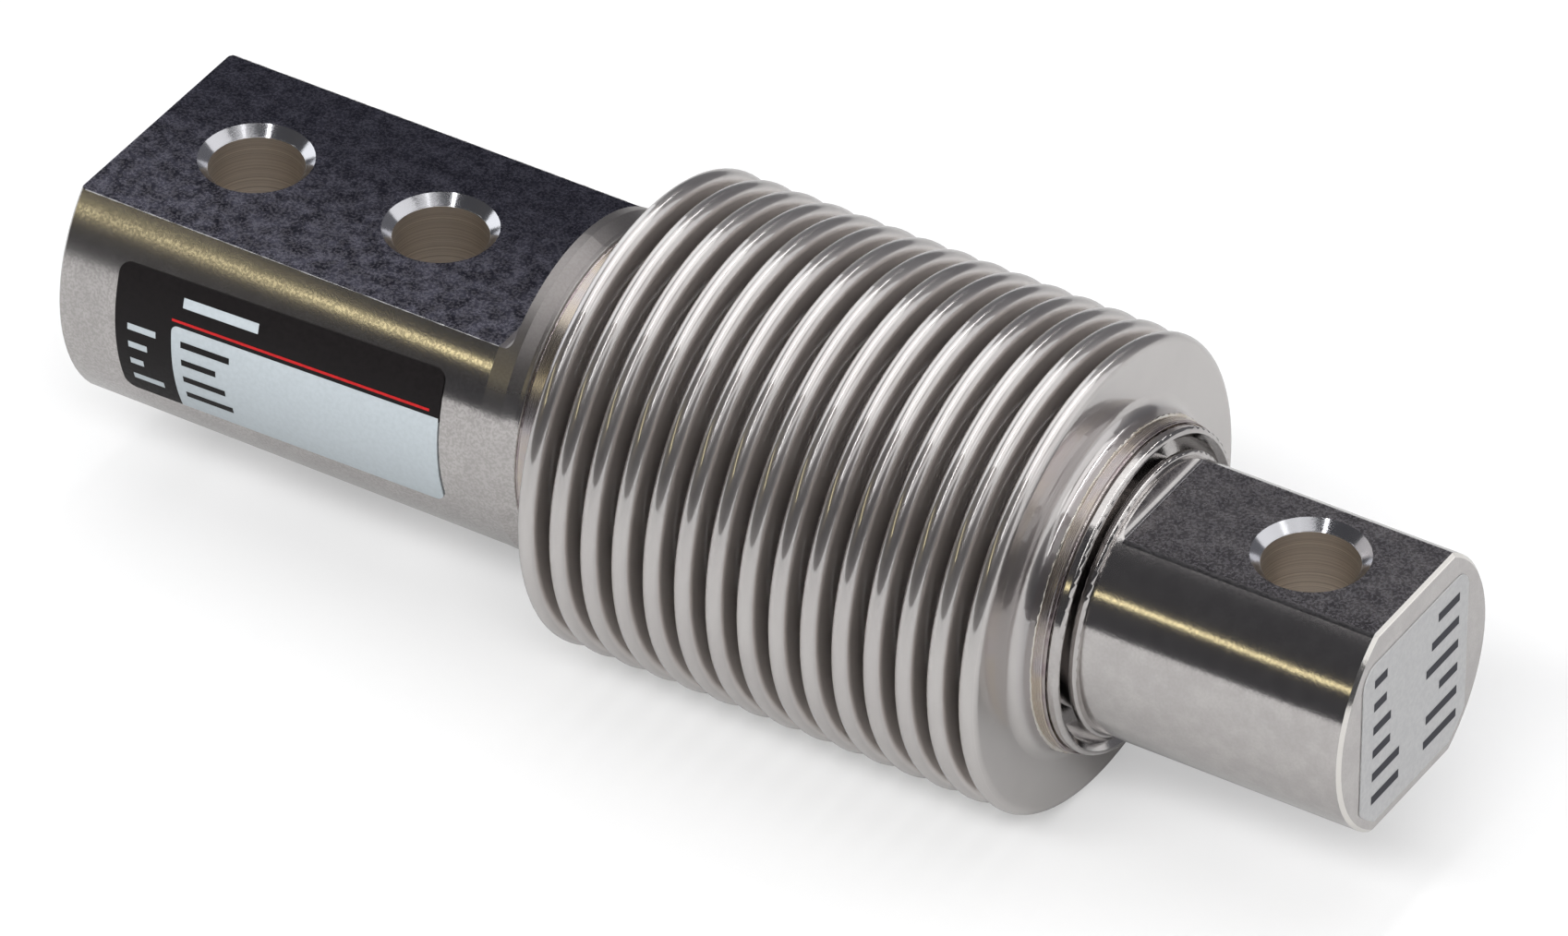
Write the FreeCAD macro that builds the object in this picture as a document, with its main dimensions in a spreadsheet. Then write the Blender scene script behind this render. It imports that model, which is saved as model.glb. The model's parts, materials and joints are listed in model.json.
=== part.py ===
import FreeCAD, Part
import Sketcher
import math
import os

# Single-ended bending beam load cell with a welded metal bellows, in millimetres.
# +X runs from the bolted fixed end to the load end and +Z is up. The origin is the
# middle of the fixed end's two bolt holes, on its flat underside. Every sub-part is
# built about the beam's own centre line and then lifted by half the beam's height.

SIZES = [
    # name, value, note
    ("half_height", 13.0, "centre line to each clamping flat"),
    ("load_crown", 2.25, "round sides of the load end, out from its flats"),
    ("neck_step", 1.25, "load shaft down to the floor of the relief groove"),
    ("relief_width", 2.9, "relief groove, from its floor out to its mouth"),
    ("relief_rim", 0.6, "mouth of the relief groove out to the ring seats"),
    ("ring_wall", 0.91, "thickness of the weld rings"),
    ("ring_clearance", 0.02, "between weld rings, seats and cuffs"),
    ("fixed_lip_height", 1.1, "weld lip of the fixed end above its ring seat"),
    ("load_lip_height", 0.6, "weld lip of the load end above its ring seat"),
    ("taper_height", 0.75, "round sides of the fixed end above its weld lip"),
    ("flange_height", 0.55, "shoulder flange above the load shaft"),
    ("core_step", 2.9, "ring seats down to the round stock of the measuring zone"),
    ("fold_height", 8.15, "inside of the bellows tube to its crests"),
    ("bolt_bore_radius", 5.25, "clearance bores for M10 screws"),
    ("bore_chamfer", 1.1, "45 degree mouth of each bore"),
    ("bolt_pitch", 23.5, "between the two fixed end bores"),
    ("end_to_bolt", 12.9, "fixed end face to the first bore"),
    ("bolt_to_collar", 18.05, "second bore to the end of the fixed flats"),
    ("flat_corner", 0.8, "cutter radius where a flat meets round stock"),
    ("collar_width", 1.05, "full round collar behind the fixed flats"),
    ("taper_length", 1.35, "cone from the collar down to the weld lip"),
    ("fixed_lip_width", 0.7, "weld lip at the fixed end"),
    ("fixed_lip_round", 0.25, "rounded edge of the fixed end's weld lip"),
    ("fixed_seat_length", 4.05, "seat for the fixed weld ring"),
    ("load_seat_length", 2.85, "seat for the load weld ring"),
    ("load_lip_width", 1.5, "weld lip at the load end"),
    ("load_lip_round", 0.45, "rounded edges of the load end's weld lip"),
    ("relief_depth", 3.15, "relief groove behind the load lip"),
    ("relief_flare", 0.6, "45 degree mouth of the relief groove"),
    ("flange_inset", 0.15, "start of the shoulder flange, inside the groove's mouth"),
    ("flange_width", 1.0, "shoulder flange of the load end"),
    ("flange_edge", 0.35, "rounded edges of the shoulder flange"),
    ("flange_to_flat", 0.5, "round stock left before the load flats"),
    ("flat_to_load_bore", 18.1, "start of the load flats to the load bore"),
    ("load_bore_to_end", 12.55, "load bore to the load end face"),
    ("fixed_face_bevel", 0.3, "turned bevel, left on the round sides of the fixed end face"),
    ("load_face_bevel", 0.4, "bevel around the load end face"),
    ("web_thickness", 3.2, "thin bending webs over and under the cross bores"),
    ("side_gap", 0.1, "side faces of the measuring block to the wire passage"),
    ("core_corner", 2.0, "cutter radius at the ends of the measuring block"),
    ("web_bore_radius", 7.3, "cross bores that leave the thin bending webs"),
    ("web_bore_pitch", 22.0, "between the two cross bores"),
    ("web_slot_height", 3.4, "slot that joins the cross bores"),
    ("port_edge", 1.35, "rim of the cable gland to the round side of the fixed end"),
    ("port_radius", 6.0, "cable port in the fixed end face"),
    ("port_depth", 8.4, "cable port in the fixed end face"),
    ("passage_clearance", 0.45, "lead wires to the wall of their passage"),
    ("convolutions", 15, "crests of the bellows"),
    ("bellows_pitch", 3.85, "from crest to crest"),
    ("bellows_wall", 0.3, "thickness of the formed tube"),
    ("crest_radius", 1.1, "outside radius of each crest fold"),
    ("cuff_fillet", 1.5, "blend from each end disc to its cuff"),
    ("cuff_length", 0.6, "straight cuff at each end"),
    ("cuff_overlap", 1.05, "cuff length carried by the fixed weld ring"),
    ("load_cuff_overlap", 1.5, "cuff length carried by the load weld ring"),
    ("ring_bevel", 0.25, "weld preparation on each ring"),
    ("gauge_length", 6.4, "strain gauge film"),
    ("gauge_width", 4.4, "strain gauge film"),
    ("gauge_thickness", 0.15, "strain gauge film"),
    ("gauge_corner", 0.5, "rounded corners of the film"),
    ("tab_length", 1.2, "solder tabs of a gauge"),
    ("tab_width", 1.0, "solder tabs of a gauge"),
    ("tab_pitch", 2.2, "between the two tabs of a gauge"),
    ("tab_thickness", 0.05, "solder tabs of a gauge"),
    ("board_gap", 1.3, "terminal board to the gauges at both its ends"),
    ("board_width", 9.0, "terminal board across the beam"),
    ("board_thickness", 0.8, "terminal board"),
    ("board_corner", 0.8, "rounded corners of the board"),
    ("pad_margin", 0.9, "first and last wire pad to the ends of the board"),
    ("pad_inset", 0.6, "wire pads to the long edge of the board"),
    ("pad_length", 1.6, "wire pad across the board"),
    ("pad_width", 1.2, "wire pad along the board"),
    ("pad_thickness", 0.06, "wire pads"),
    ("trim_flange_radius", 0.8, "end cheeks of a wire wound trim resistor"),
    ("trim_core_radius", 0.55, "wound middle of a trim resistor"),
    ("trim_length", 3.2, "trim resistor"),
    ("trim_cheek", 0.4, "width of each end cheek"),
    ("trim_margin", 1.7, "outer trim resistors to the ends of the board"),
    ("trim_row_offset", 0.6, "trim resistors from the board's middle"),
    ("trim_seat", 0.03, "adhesive under a trim resistor"),
    ("core_wire_radius", 0.45, "insulated lead wire"),
    ("wire_spacing", 0.1, "between neighbouring lead wires in the passage"),
    ("wire_tail", 1.2, "free wire ends, behind the cone of the gland"),
    ("wire_bend", 1.2, "bend radius of a lead wire"),
    ("wire_drop", 0.3, "straight end of a lead wire over its pad"),
    ("gauge_wire_radius", 0.2, "enamelled twin lead of a gauge"),
    ("gauge_wire_bend", 0.7, "bend radius of a gauge lead"),
    ("gauge_wire_rise", 0.4, "straight ends of a gauge lead"),
    ("gauge_wire_landing", 1.2, "gauge leads, in from the edges of the board"),
    ("gauge_wire_standoff", 0.5, "gauge lead beside the measuring block"),
    ("plug_length", 3.0, "potting plug at the end of the wire passage"),
    ("plug_clearance", 0.01, "potting plug to its walls"),
    ("gland_rim", 1.0, "rim of the cable gland body, out past the port"),
    ("gland_flange_width", 1.0, "rim of the cable gland body"),
    ("gland_clearance", 0.04, "gland parts in their threads"),
    ("gland_wall", 1.36, "gland body around its threaded mouth"),
    ("gland_mouth_depth", 4.2, "threaded mouth, in from the rim"),
    ("gland_throat_radius", 2.6, "wire bore of the gland body"),
    ("cable_bore_radius", 3.0, "cable bore of the seal, washer and pressure screw"),
    ("gland_cone_length", 1.2, "cone that squeezes the seal"),
    ("seal_length", 2.2, "straight part of the cable seal"),
    ("washer_thickness", 0.5, "pressure washer"),
    ("nut_hex_width", 12.0, "across the flats of the pressure screw"),
    ("nut_head_width", 2.0, "head of the pressure screw"),
    ("nut_bevel", 0.4, "bevelled rim of the pressure screw"),
    ("rating_length", 40.9, "rating label along the beam"),
    ("rating_height", 16.3, "rating label, measured flat across its curve"),
    ("rating_corner", 1.3, "rounded corners of the rating label"),
    ("rating_from_face", 27.95, "fixed end face to the middle of the rating label"),
    ("rating_rise", 0.85, "middle of the rating label above the centre line"),
    ("rating_tilt", 1.5, "slope of the rating label, in degrees"),
    ("label_thickness", 0.12, "both labels"),
    ("label_glue", 0.02, "adhesive under both labels"),
    ("wiring_margin", 1.35, "wiring label to the round sides of the load end"),
    ("wiring_side_trim", 3.1, "straight sides of the wiring label, in from its round"),
    ("wiring_top_margin", 3.4, "wiring label to the upper flat"),
    ("wiring_foot_margin", 1.5, "wiring label to the lower flat"),
    ("wiring_corner", 2.4, "rounded corners of the wiring label"),
]


class Size:
    """A length that carries both its value and the sheet formula it comes from."""

    def __init__(self, value, formula):
        self.value = float(value)
        self.formula = formula

    def __add__(self, other):
        other = as_size(other)
        return Size(self.value + other.value, f"({self.formula} + {other.formula})")

    def __sub__(self, other):
        other = as_size(other)
        return Size(self.value - other.value, f"({self.formula} - {other.formula})")

    def __mul__(self, other):
        other = as_size(other)
        return Size(self.value * other.value, f"({self.formula} * {other.formula})")

    def __truediv__(self, other):
        other = as_size(other)
        return Size(self.value / other.value, f"({self.formula} / {other.formula})")

    def __neg__(self):
        return Size(-self.value, f"(-{self.formula})")


def as_size(number):
    if isinstance(number, Size):
        return number
    return Size(number, repr(float(number)))


def cosine(angle):
    return Size(math.cos(math.radians(angle.value)), f"cos({angle.formula} * 1deg)")


def sine(angle):
    return Size(math.sin(math.radians(angle.value)), f"sin({angle.formula} * 1deg)")


ZERO = as_size(0)
doc = FreeCAD.newDocument("load_cell")


def make_sheet():
    sheet = doc.addObject("Spreadsheet::Sheet", "Sizes")
    table = {}
    for row, (name, value, note) in enumerate(SIZES, start=1):
        sheet.set(f"A{row}", name)
        sheet.set(f"B{row}", str(value))
        sheet.set(f"C{row}", note)
        sheet.setAlias(f"B{row}", name)
        table[name] = Size(value, f"Sizes.{name}")
    doc.recompute()
    return table


size = make_sheet()

# Radii of the turned pieces, each stepped from the one before it
load_radius = size["half_height"] + size["load_crown"]
neck_radius = load_radius - size["neck_step"]
relief_radius = neck_radius + size["relief_width"]
seat_radius = relief_radius + size["relief_rim"]
tube_radius = seat_radius + size["ring_wall"] + size["ring_clearance"] * 2
bellows_radius = tube_radius + size["fold_height"]
fixed_lip_radius = seat_radius + size["fixed_lip_height"]
fixed_radius = fixed_lip_radius + size["taper_height"]
load_lip_radius = seat_radius + size["load_lip_height"]
flange_radius = load_radius + size["flange_height"]
core_radius = seat_radius - size["core_step"]

# Cable gland and wire passage, then the block that they leave room for
bundle_radius = size["core_wire_radius"] * 2 + size["wire_spacing"]
passage_radius = bundle_radius + size["core_wire_radius"] + size["passage_clearance"]
gland_flange_radius = size["port_radius"] + size["gland_rim"]
port_offset = fixed_radius - gland_flange_radius - size["port_edge"]
gland_sleeve_radius = size["port_radius"] - size["gland_clearance"]
gland_mouth_radius = gland_sleeve_radius - size["gland_wall"]
gland_insert_radius = gland_mouth_radius - size["gland_clearance"]
gland_mouth_end = size["gland_mouth_depth"] - size["gland_flange_width"]
gland_cone_end = gland_mouth_end + size["gland_cone_length"]
gland_seal_start = gland_mouth_end - size["seal_length"]
gland_washer_start = gland_seal_start - size["washer_thickness"]
core_half_height = size["web_bore_radius"] + size["web_thickness"]
core_half_width = port_offset - passage_radius - size["side_gap"]

# Stations along the beam, counted from the origin
fixed_bore_x = size["bolt_pitch"] / 2
fixed_face = -(fixed_bore_x + size["end_to_bolt"])
collar_start = fixed_bore_x + size["bolt_to_collar"]
collar_end = collar_start + size["collar_width"]
fixed_lip_start = collar_end + size["taper_length"]
fixed_lip_end = fixed_lip_start + size["fixed_lip_width"]
fixed_shoulder = fixed_lip_end + size["fixed_seat_length"]
fixed_cuff_end = fixed_shoulder - size["cuff_overlap"]
cuff_reach = size["cuff_length"] + size["cuff_fillet"] + size["crest_radius"]
first_crest = fixed_cuff_end + cuff_reach
last_crest = first_crest + size["bellows_pitch"] * (size["convolutions"] - 1)
load_cuff_end = last_crest + cuff_reach
load_shoulder = load_cuff_end - size["load_cuff_overlap"]
load_lip_start = load_shoulder + size["load_seat_length"]
load_lip_end = load_lip_start + size["load_lip_width"]
relief_floor = load_lip_end - size["relief_depth"]
flange_start = load_lip_end - size["flange_inset"]
flange_end = flange_start + size["flange_width"]
load_flat_start = flange_end + size["flange_to_flat"]
load_bore_x = load_flat_start + size["flat_to_load_bore"]
load_face = load_bore_x + size["load_bore_to_end"]
core_middle = (fixed_shoulder + load_shoulder) / 2
web_bore_offset = size["web_bore_pitch"] / 2

# Terminal board between the gauges, with its pads and trim resistors
board_length = size["web_bore_pitch"] - size["gauge_length"] - size["board_gap"] * 2
board_top = core_half_height + size["board_thickness"]
pad_pitch = (board_length - size["pad_width"] - size["pad_margin"] * 2) / 5
pad_row = size["board_width"] / 2 - size["pad_length"] / 2 - size["pad_inset"]
trim_pitch = board_length / 2 - size["trim_flange_radius"] - size["trim_margin"]


def bind(thing, prop, length):
    thing.setExpression(prop, length.formula)


def new_body(name):
    body = doc.addObject("PartDesign::Body", name)
    body.Label = name
    return body


def lift(thing):
    """Raise a finished sub-part from the centre line to its place above the underside."""
    bind(thing, ".Placement.Base.z", size["half_height"])


def origin_plane(body, role):
    return next(item for item in body.Origin.OriginFeatures if item.Role == role)


def new_sketch(body, name, role, offset=None):
    sketch = body.newObject("Sketcher::SketchObject", name)
    sketch.AttachmentSupport = [(origin_plane(body, role), "")]
    sketch.MapMode = "FlatFace"
    if offset is not None:
        bind(sketch, ".AttachmentOffset.Base.z", offset)
    return sketch


def place_point(sketch, edge, end, x, y):
    """Tie one end or centre of a sketch edge to its coordinates in the sheet."""
    for kind, axis, length in (("DistanceX", -2, x), ("DistanceY", -1, y)):
        if length is ZERO:
            sketch.addConstraint(Sketcher.Constraint("PointOnObject", edge, end, axis))
            continue
        index = sketch.addConstraint(Sketcher.Constraint(kind, -1, 1, edge, end, length.value))
        bind(sketch, f"Constraints[{index}]", length)


def direction(start, end):
    """Unit step from one corner to the next along a sketch axis."""
    run = end[0].value - start[0].value
    rise = end[1].value - start[1].value
    length = math.hypot(run, rise)
    return run / length, rise / length


def moved(corner, radius, way):
    """A corner moved by radius along one of the two sketch axes."""
    steps = []
    for coordinate, part in zip(corner, way):
        if abs(part) < 1e-9:
            steps.append(coordinate)
        elif part > 0:
            steps.append(coordinate + radius)
        else:
            steps.append(coordinate - radius)
    return tuple(steps)


def apart(first, last):
    """Distance between two points given as sizes."""
    return math.hypot(last[0].value - first[0].value, last[1].value - first[1].value)


def corner_piece(before, corner, after):
    """Where an outline enters and leaves a corner, a point on its arc, and its radius."""
    if len(corner) == 2:
        return corner, corner, None, None
    radius = corner[2]
    arrive = direction(before, corner)
    leave = direction(corner, after)
    first = moved(corner[:2], radius, (-arrive[0], -arrive[1]))
    last = moved(corner[:2], radius, leave)
    middle = tuple(
        enter.value + radius.value * (onward + (along - onward) / math.sqrt(2))
        for enter, along, onward in zip(first, arrive, leave)
    )
    return first, last, middle, radius


def rounded_edges(corners):
    """Straight edges and arcs, as (start, finish, point on the arc, radius, half circle),
    from corners (x, y) or (x, y, radius). Arcs that touch become one half circle."""
    around = zip(corners[-1:] + corners[:-1], corners, corners[1:] + corners[:1])
    pieces = []
    for before, corner, after in around:
        first, last, middle, radius = corner_piece(before, corner, after)
        touches = pieces and radius and pieces[-1][3] and apart(pieces[-1][1], first) < 1e-6
        if touches:
            first, top = pieces.pop()[:2]
            middle = tuple(coordinate.value for coordinate in top)
        pieces.append((first, last, middle, radius, touches))
    edges = []
    for piece, following in zip(pieces, pieces[1:] + pieces[:1]):
        if piece[3]:
            edges.append(piece)
        if apart(piece[1], following[0]) > 1e-6:
            edges.append((piece[1], following[0], None, None, False))
    return edges


def outline(sketch, corners):
    """Draw one closed outline whose every corner and radius is tied to the sheet."""
    ends = []
    for start, finish, middle, radius, half_circle in rounded_edges(corners):
        first = FreeCAD.Vector(start[0].value, start[1].value, 0)
        last = FreeCAD.Vector(finish[0].value, finish[1].value, 0)
        if radius:
            edge = sketch.addGeometry(Part.Arc(first, FreeCAD.Vector(*middle, 0), last), False)
        else:
            edge = sketch.addGeometry(Part.LineSegment(first, last), False)
        begins = sketch.getPoint(edge, 1).distanceToPoint(first) < 1e-6
        tail, head = (1, 2) if begins else (2, 1)
        if half_circle:
            sketch.addConstraint(Sketcher.Constraint("Horizontal", edge, tail, edge, 3))
        elif radius:
            index = sketch.addConstraint(Sketcher.Constraint("Radius", edge, radius.value))
            bind(sketch, f"Constraints[{index}]", radius)
        place_point(sketch, edge, tail, start[0], start[1])
        ends.append((edge, tail, head))
    for (edge, _, head), (following, tail, _) in zip(ends, ends[1:] + ends[:1]):
        sketch.addConstraint(Sketcher.Constraint("Coincident", edge, head, following, tail))


def circle(sketch, x, y, radius):
    middle = FreeCAD.Vector(x.value, y.value, 0)
    edge = sketch.addGeometry(Part.Circle(middle, FreeCAD.Vector(0, 0, 1), radius.value), False)
    place_point(sketch, edge, 3, x, y)
    index = sketch.addConstraint(Sketcher.Constraint("Radius", edge, radius.value))
    bind(sketch, f"Constraints[{index}]", radius)


def box_corners(low_x, high_x, low_y, high_y):
    return [(low_x, low_y), (high_x, low_y), (high_x, high_y), (low_x, high_y)]


def round_box(low_x, high_x, low_y, high_y, radius):
    return [corner + (radius,) for corner in box_corners(low_x, high_x, low_y, high_y)]


def revolve(body, name, corners):
    """Turn a half section, drawn as x and radius, about the centre line."""
    sketch = new_sketch(body, f"{name}_section", "XZ_Plane")
    outline(sketch, corners)
    turned = body.newObject("PartDesign::Revolution", name)
    turned.Profile = sketch
    turned.ReferenceAxis = (sketch, ["H_Axis"])
    turned.Angle = 360
    doc.recompute()
    return turned


def pad(body, name, sketch, length, reverse=False):
    feature = body.newObject("PartDesign::Pad", name)
    feature.Profile = sketch
    feature.Reversed = reverse
    bind(feature, "Length", length)
    doc.recompute()
    return feature


def must_shrink(body, before, name):
    if body.Shape.Volume >= before - 1e-6:
        raise ValueError(f"{name} cut nothing")


def pocket_through(body, name, sketch):
    """Cut a sketch right through, to both sides of its plane."""
    before = body.Shape.Volume
    feature = body.newObject("PartDesign::Pocket", name)
    feature.Profile = sketch
    feature.Type = "ThroughAll"
    feature.Midplane = True
    doc.recompute()
    must_shrink(body, before, name)
    return feature


def pocket_depth(body, name, sketch, depth, reverse):
    before = body.Shape.Volume
    feature = body.newObject("PartDesign::Pocket", name)
    feature.Profile = sketch
    feature.Type = "Length"
    feature.Reversed = reverse
    bind(feature, "Length", depth)
    doc.recompute()
    must_shrink(body, before, name)
    return feature


def chamfer(body, name, width, wanted):
    """Bevel every edge of the body's last feature for which wanted(edge) is true."""
    last = body.Tip
    names = [f"Edge{n}" for n, edge in enumerate(last.Shape.Edges, start=1) if wanted(edge)]
    if not names:
        raise ValueError(f"{name} found no edge")
    feature = body.newObject("PartDesign::Chamfer", name)
    feature.Base = (last, names)
    bind(feature, "Size", width)
    doc.recompute()
    return feature


def lies_in_plane(edge, axis, level):
    box = edge.BoundBox
    low, high = {"x": (box.XMin, box.XMax), "z": (box.ZMin, box.ZMax)}[axis]
    return abs(low - level) < 1e-4 and abs(high - level) < 1e-4


def is_circle(edge, radius):
    curve = edge.Curve
    return isinstance(curve, Part.Circle) and abs(curve.Radius - radius) < 1e-4


def beam_section():
    """Half section of the turned blank, from the fixed end face to the load end face."""
    lip = size["load_lip_round"]
    edge = size["flange_edge"]
    flare = size["relief_flare"]
    return [
        (fixed_face, ZERO),
        (fixed_face, fixed_radius),
        (collar_end, fixed_radius),
        (fixed_lip_start, fixed_lip_radius),
        (fixed_lip_end, fixed_lip_radius, size["fixed_lip_round"]),
        (fixed_lip_end, seat_radius),
        (fixed_shoulder, seat_radius),
        (fixed_shoulder, core_radius),
        (load_shoulder, core_radius),
        (load_shoulder, seat_radius),
        (load_lip_start, seat_radius),
        (load_lip_start, load_lip_radius, lip),
        (load_lip_end, load_lip_radius, lip),
        (load_lip_end, relief_radius + flare),
        (load_lip_end - flare, relief_radius),
        (relief_floor, relief_radius),
        (relief_floor, neck_radius),
        (flange_start, neck_radius),
        (flange_start, flange_radius, edge),
        (flange_end, flange_radius, edge),
        (flange_end, load_radius),
        (load_face, load_radius),
        (load_face, ZERO),
    ]


def cut_clamping_flats(body):
    """Mill both ends flat, above and below, up to the round collar and flange."""
    high = size["half_height"]
    past = size["flange_width"]
    fixed_top = fixed_radius + past
    load_top = load_radius + past
    corner = size["flat_corner"]
    sketch = new_sketch(body, "fixed_flats_outline", "XZ_Plane")
    for side in (1, -1):
        outline(sketch, [
            (fixed_face - past, high * side),
            (collar_start, high * side, corner),
            (collar_start, fixed_top * side),
            (fixed_face - past, fixed_top * side),
        ])
    pocket_through(body, "fixed_flats", sketch)
    sketch = new_sketch(body, "load_flats_outline", "XZ_Plane")
    for side in (1, -1):
        outline(sketch, [
            (load_face + past, high * side),
            (load_flat_start, high * side, corner),
            (load_flat_start, load_top * side),
            (load_face + past, load_top * side),
        ])
    pocket_through(body, "load_flats", sketch)


def cut_measuring_block(body):
    """Mill the block inside the bellows, then bore the binocular window through it."""
    outside = core_radius + size["core_corner"]
    corner = size["core_corner"]
    for name, role, half in (
        ("gauge_faces", "XZ_Plane", core_half_height),
        ("side_faces", "XY_Plane", core_half_width),
    ):
        sketch = new_sketch(body, f"{name}_outline", role)
        for side in (1, -1):
            outline(sketch, [
                (fixed_shoulder, half * side, corner),
                (load_shoulder, half * side, corner),
                (load_shoulder, outside * side),
                (fixed_shoulder, outside * side),
            ])
        pocket_through(body, name, sketch)
    sketch = new_sketch(body, "web_bores_outline", "XZ_Plane")
    for side in (1, -1):
        circle(sketch, core_middle + web_bore_offset * side, ZERO, size["web_bore_radius"])
    pocket_through(body, "web_bores", sketch)
    sketch = new_sketch(body, "web_slot_outline", "XZ_Plane")
    half = size["web_slot_height"] / 2
    low = core_middle - web_bore_offset
    high = core_middle + web_bore_offset
    outline(sketch, box_corners(low, high, -half, half))
    pocket_through(body, "web_slot", sketch)


def cut_screw_bores(body):
    sketch = new_sketch(body, "screw_bores_outline", "XY_Plane")
    for x in (-fixed_bore_x, fixed_bore_x, load_bore_x):
        circle(sketch, x, ZERO, size["bolt_bore_radius"])
    pocket_through(body, "screw_bores", sketch)


def cut_cable_port(body):
    """Bore the gland's port beside the bolts and drill the wire passage behind it."""
    sketch = new_sketch(body, "cable_port_outline", "YZ_Plane", fixed_face)
    circle(sketch, port_offset, ZERO, size["port_radius"])
    pocket_depth(body, "cable_port", sketch, size["port_depth"], True)
    sketch = new_sketch(body, "wire_passage_outline", "YZ_Plane", fixed_face)
    circle(sketch, port_offset, ZERO, passage_radius)
    past_shoulder = fixed_shoulder - fixed_face + size["core_corner"]
    pocket_depth(body, "wire_passage", sketch, past_shoulder, True)


def make_spring_beam():
    body = new_body("spring_beam")
    revolve(body, "turned_blank", beam_section())
    cut_clamping_flats(body)
    cut_measuring_block(body)
    cut_screw_bores(body)
    high = size["half_height"].value
    bore = size["bolt_bore_radius"].value
    chamfer(body, "bore_mouths", size["bore_chamfer"], lambda edge: is_circle(edge, bore) and (
        lies_in_plane(edge, "z", high) or lies_in_plane(edge, "z", -high)))
    chamfer(body, "fixed_face_edge", size["fixed_face_bevel"],
            lambda edge: is_circle(edge, fixed_radius.value)
            and lies_in_plane(edge, "x", fixed_face.value))
    chamfer(body, "load_face_edge", size["load_face_bevel"],
            lambda edge: lies_in_plane(edge, "x", load_face.value))
    cut_cable_port(body)
    lift(body)
    return body


def crest_corners(crest, foot, outer=True):
    """Left foot, both top corners and right foot of one fold, outside or inside."""
    half = size["crest_radius"]
    top = bellows_radius
    if not outer:
        half = half - size["bellows_wall"]
        top = top - size["bellows_wall"]
    left = crest - half
    right = crest + half
    return [(left, foot), (left, top, half), (right, top, half), (right, foot)]


def make_bellows():
    """One thin tube, formed into narrow folds with a straight cuff at each end."""
    body = new_body("bellows")
    wall = size["bellows_wall"]
    pitch = size["bellows_pitch"]
    inside = tube_radius
    outside = inside + wall
    half = size["crest_radius"]
    gap = pitch / 2 - half
    foot = outside + gap
    shin = outside + size["cuff_fillet"]
    fillet = size["cuff_fillet"]

    def root(crest, reverse):
        """Both faces of the fold between a crest and the next one, at the tube's radius."""
        inner = [
            (crest + half - wall, inside, gap + wall),
            (crest + pitch - half + wall, inside, gap + wall),
        ]
        outer = [(crest + pitch - half, outside, gap), (crest + half, outside, gap)]
        return outer if reverse else inner

    def fold(crest):
        """Section of one fold from its left foot to the left foot of the next."""
        inner = crest_corners(crest, foot, False)
        outer = crest_corners(crest, foot)
        return (
            inner[:3]
            + root(crest, False)
            + [(crest + pitch - half + wall, foot), (crest + pitch - half, foot)]
            + root(crest, True)
            + [outer[2], outer[1], outer[0]]
        )

    def fixed_end(crest):
        """The fixed cuff, its end disc, the first fold and the root after it."""
        inner = crest_corners(crest, shin, False)
        outer = crest_corners(crest, shin)
        return (
            [(fixed_cuff_end, outside), (fixed_cuff_end, inside)]
            + [(crest - half + wall, inside, fillet + wall)]
            + inner[1:3]
            + root(crest, False)
            + [(crest + pitch - half + wall, foot), (crest + pitch - half, foot)]
            + root(crest, True)
            + [outer[2], outer[1]]
            + [(crest - half, outside, fillet)]
        )

    def load_end(crest):
        """The last fold, its end disc and the load cuff."""
        inner = crest_corners(crest, foot, False)
        outer = crest_corners(crest, foot)
        return (
            inner[:3]
            + [(crest + half - wall, inside, fillet + wall)]
            + [(load_cuff_end, inside), (load_cuff_end, outside)]
            + [(crest + half, outside, fillet)]
            + [outer[2], outer[1], outer[0]]
        )

    revolve(body, "fixed_cuff_and_first_fold", fixed_end(first_crest))
    second = revolve(body, "second_fold", fold(first_crest + pitch))
    row = body.newObject("PartDesign::LinearPattern", "fold_row")
    row.Originals = [second]
    row.Direction = (origin_plane(body, "X_Axis"), [""])
    bind(row, "Length", pitch * (size["convolutions"] - 3))
    bind(row, "Occurrences", size["convolutions"] - 2)
    body.Tip = row
    doc.recompute()
    revolve(body, "last_fold_and_load_cuff", load_end(last_crest))
    lift(body)
    return body


def make_weld_ring(name, lip_side, free_side, step):
    """Turned ring that fills the cuff and is welded to the beam's lip. It has a bevelled
    edge at lip_side and points along step towards free_side."""
    body = new_body(name)
    gap = size["ring_clearance"]
    bevel = size["ring_bevel"]
    inner = seat_radius + gap
    outer = tube_radius - gap
    start = lip_side + gap * step
    revolve(body, f"{name}_turning", [
        (start, inner),
        (start, outer - bevel),
        (start + bevel * step, outer),
        (free_side, outer),
        (free_side, inner),
    ])
    lift(body)
    return body


def make_gauge(name, x, side):
    """Foil gauge on the top (side 1) or bottom (side -1) of a thin web."""
    body = new_body(name)
    face = core_half_height
    half_long = size["gauge_length"] / 2
    half_wide = size["gauge_width"] / 2
    role = "XY_Plane"
    sketch = new_sketch(body, f"{name}_film_outline", role, face * side)
    outline(sketch, round_box(x - half_long, x + half_long, -half_wide, half_wide, size["gauge_corner"]))
    pad(body, f"{name}_film", sketch, size["gauge_thickness"], side < 0)
    top = face + size["gauge_thickness"]
    inward = 1 if x.value < core_middle.value else -1
    near = x + half_long * inward
    far = near - size["tab_length"] * inward
    low, high = (far, near) if inward > 0 else (near, far)
    sketch = new_sketch(body, f"{name}_tabs_outline", role, top * side)
    for way in (1, -1):
        middle = size["tab_pitch"] / 2 * way
        half = size["tab_width"] / 2
        outline(sketch, box_corners(low, high, middle - half, middle + half))
    pad(body, f"{name}_tabs", sketch, size["tab_thickness"], side < 0)
    lift(body)
    return body


def wire_pad_x(index):
    return core_middle + pad_pitch * (index - 2.5)


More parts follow.
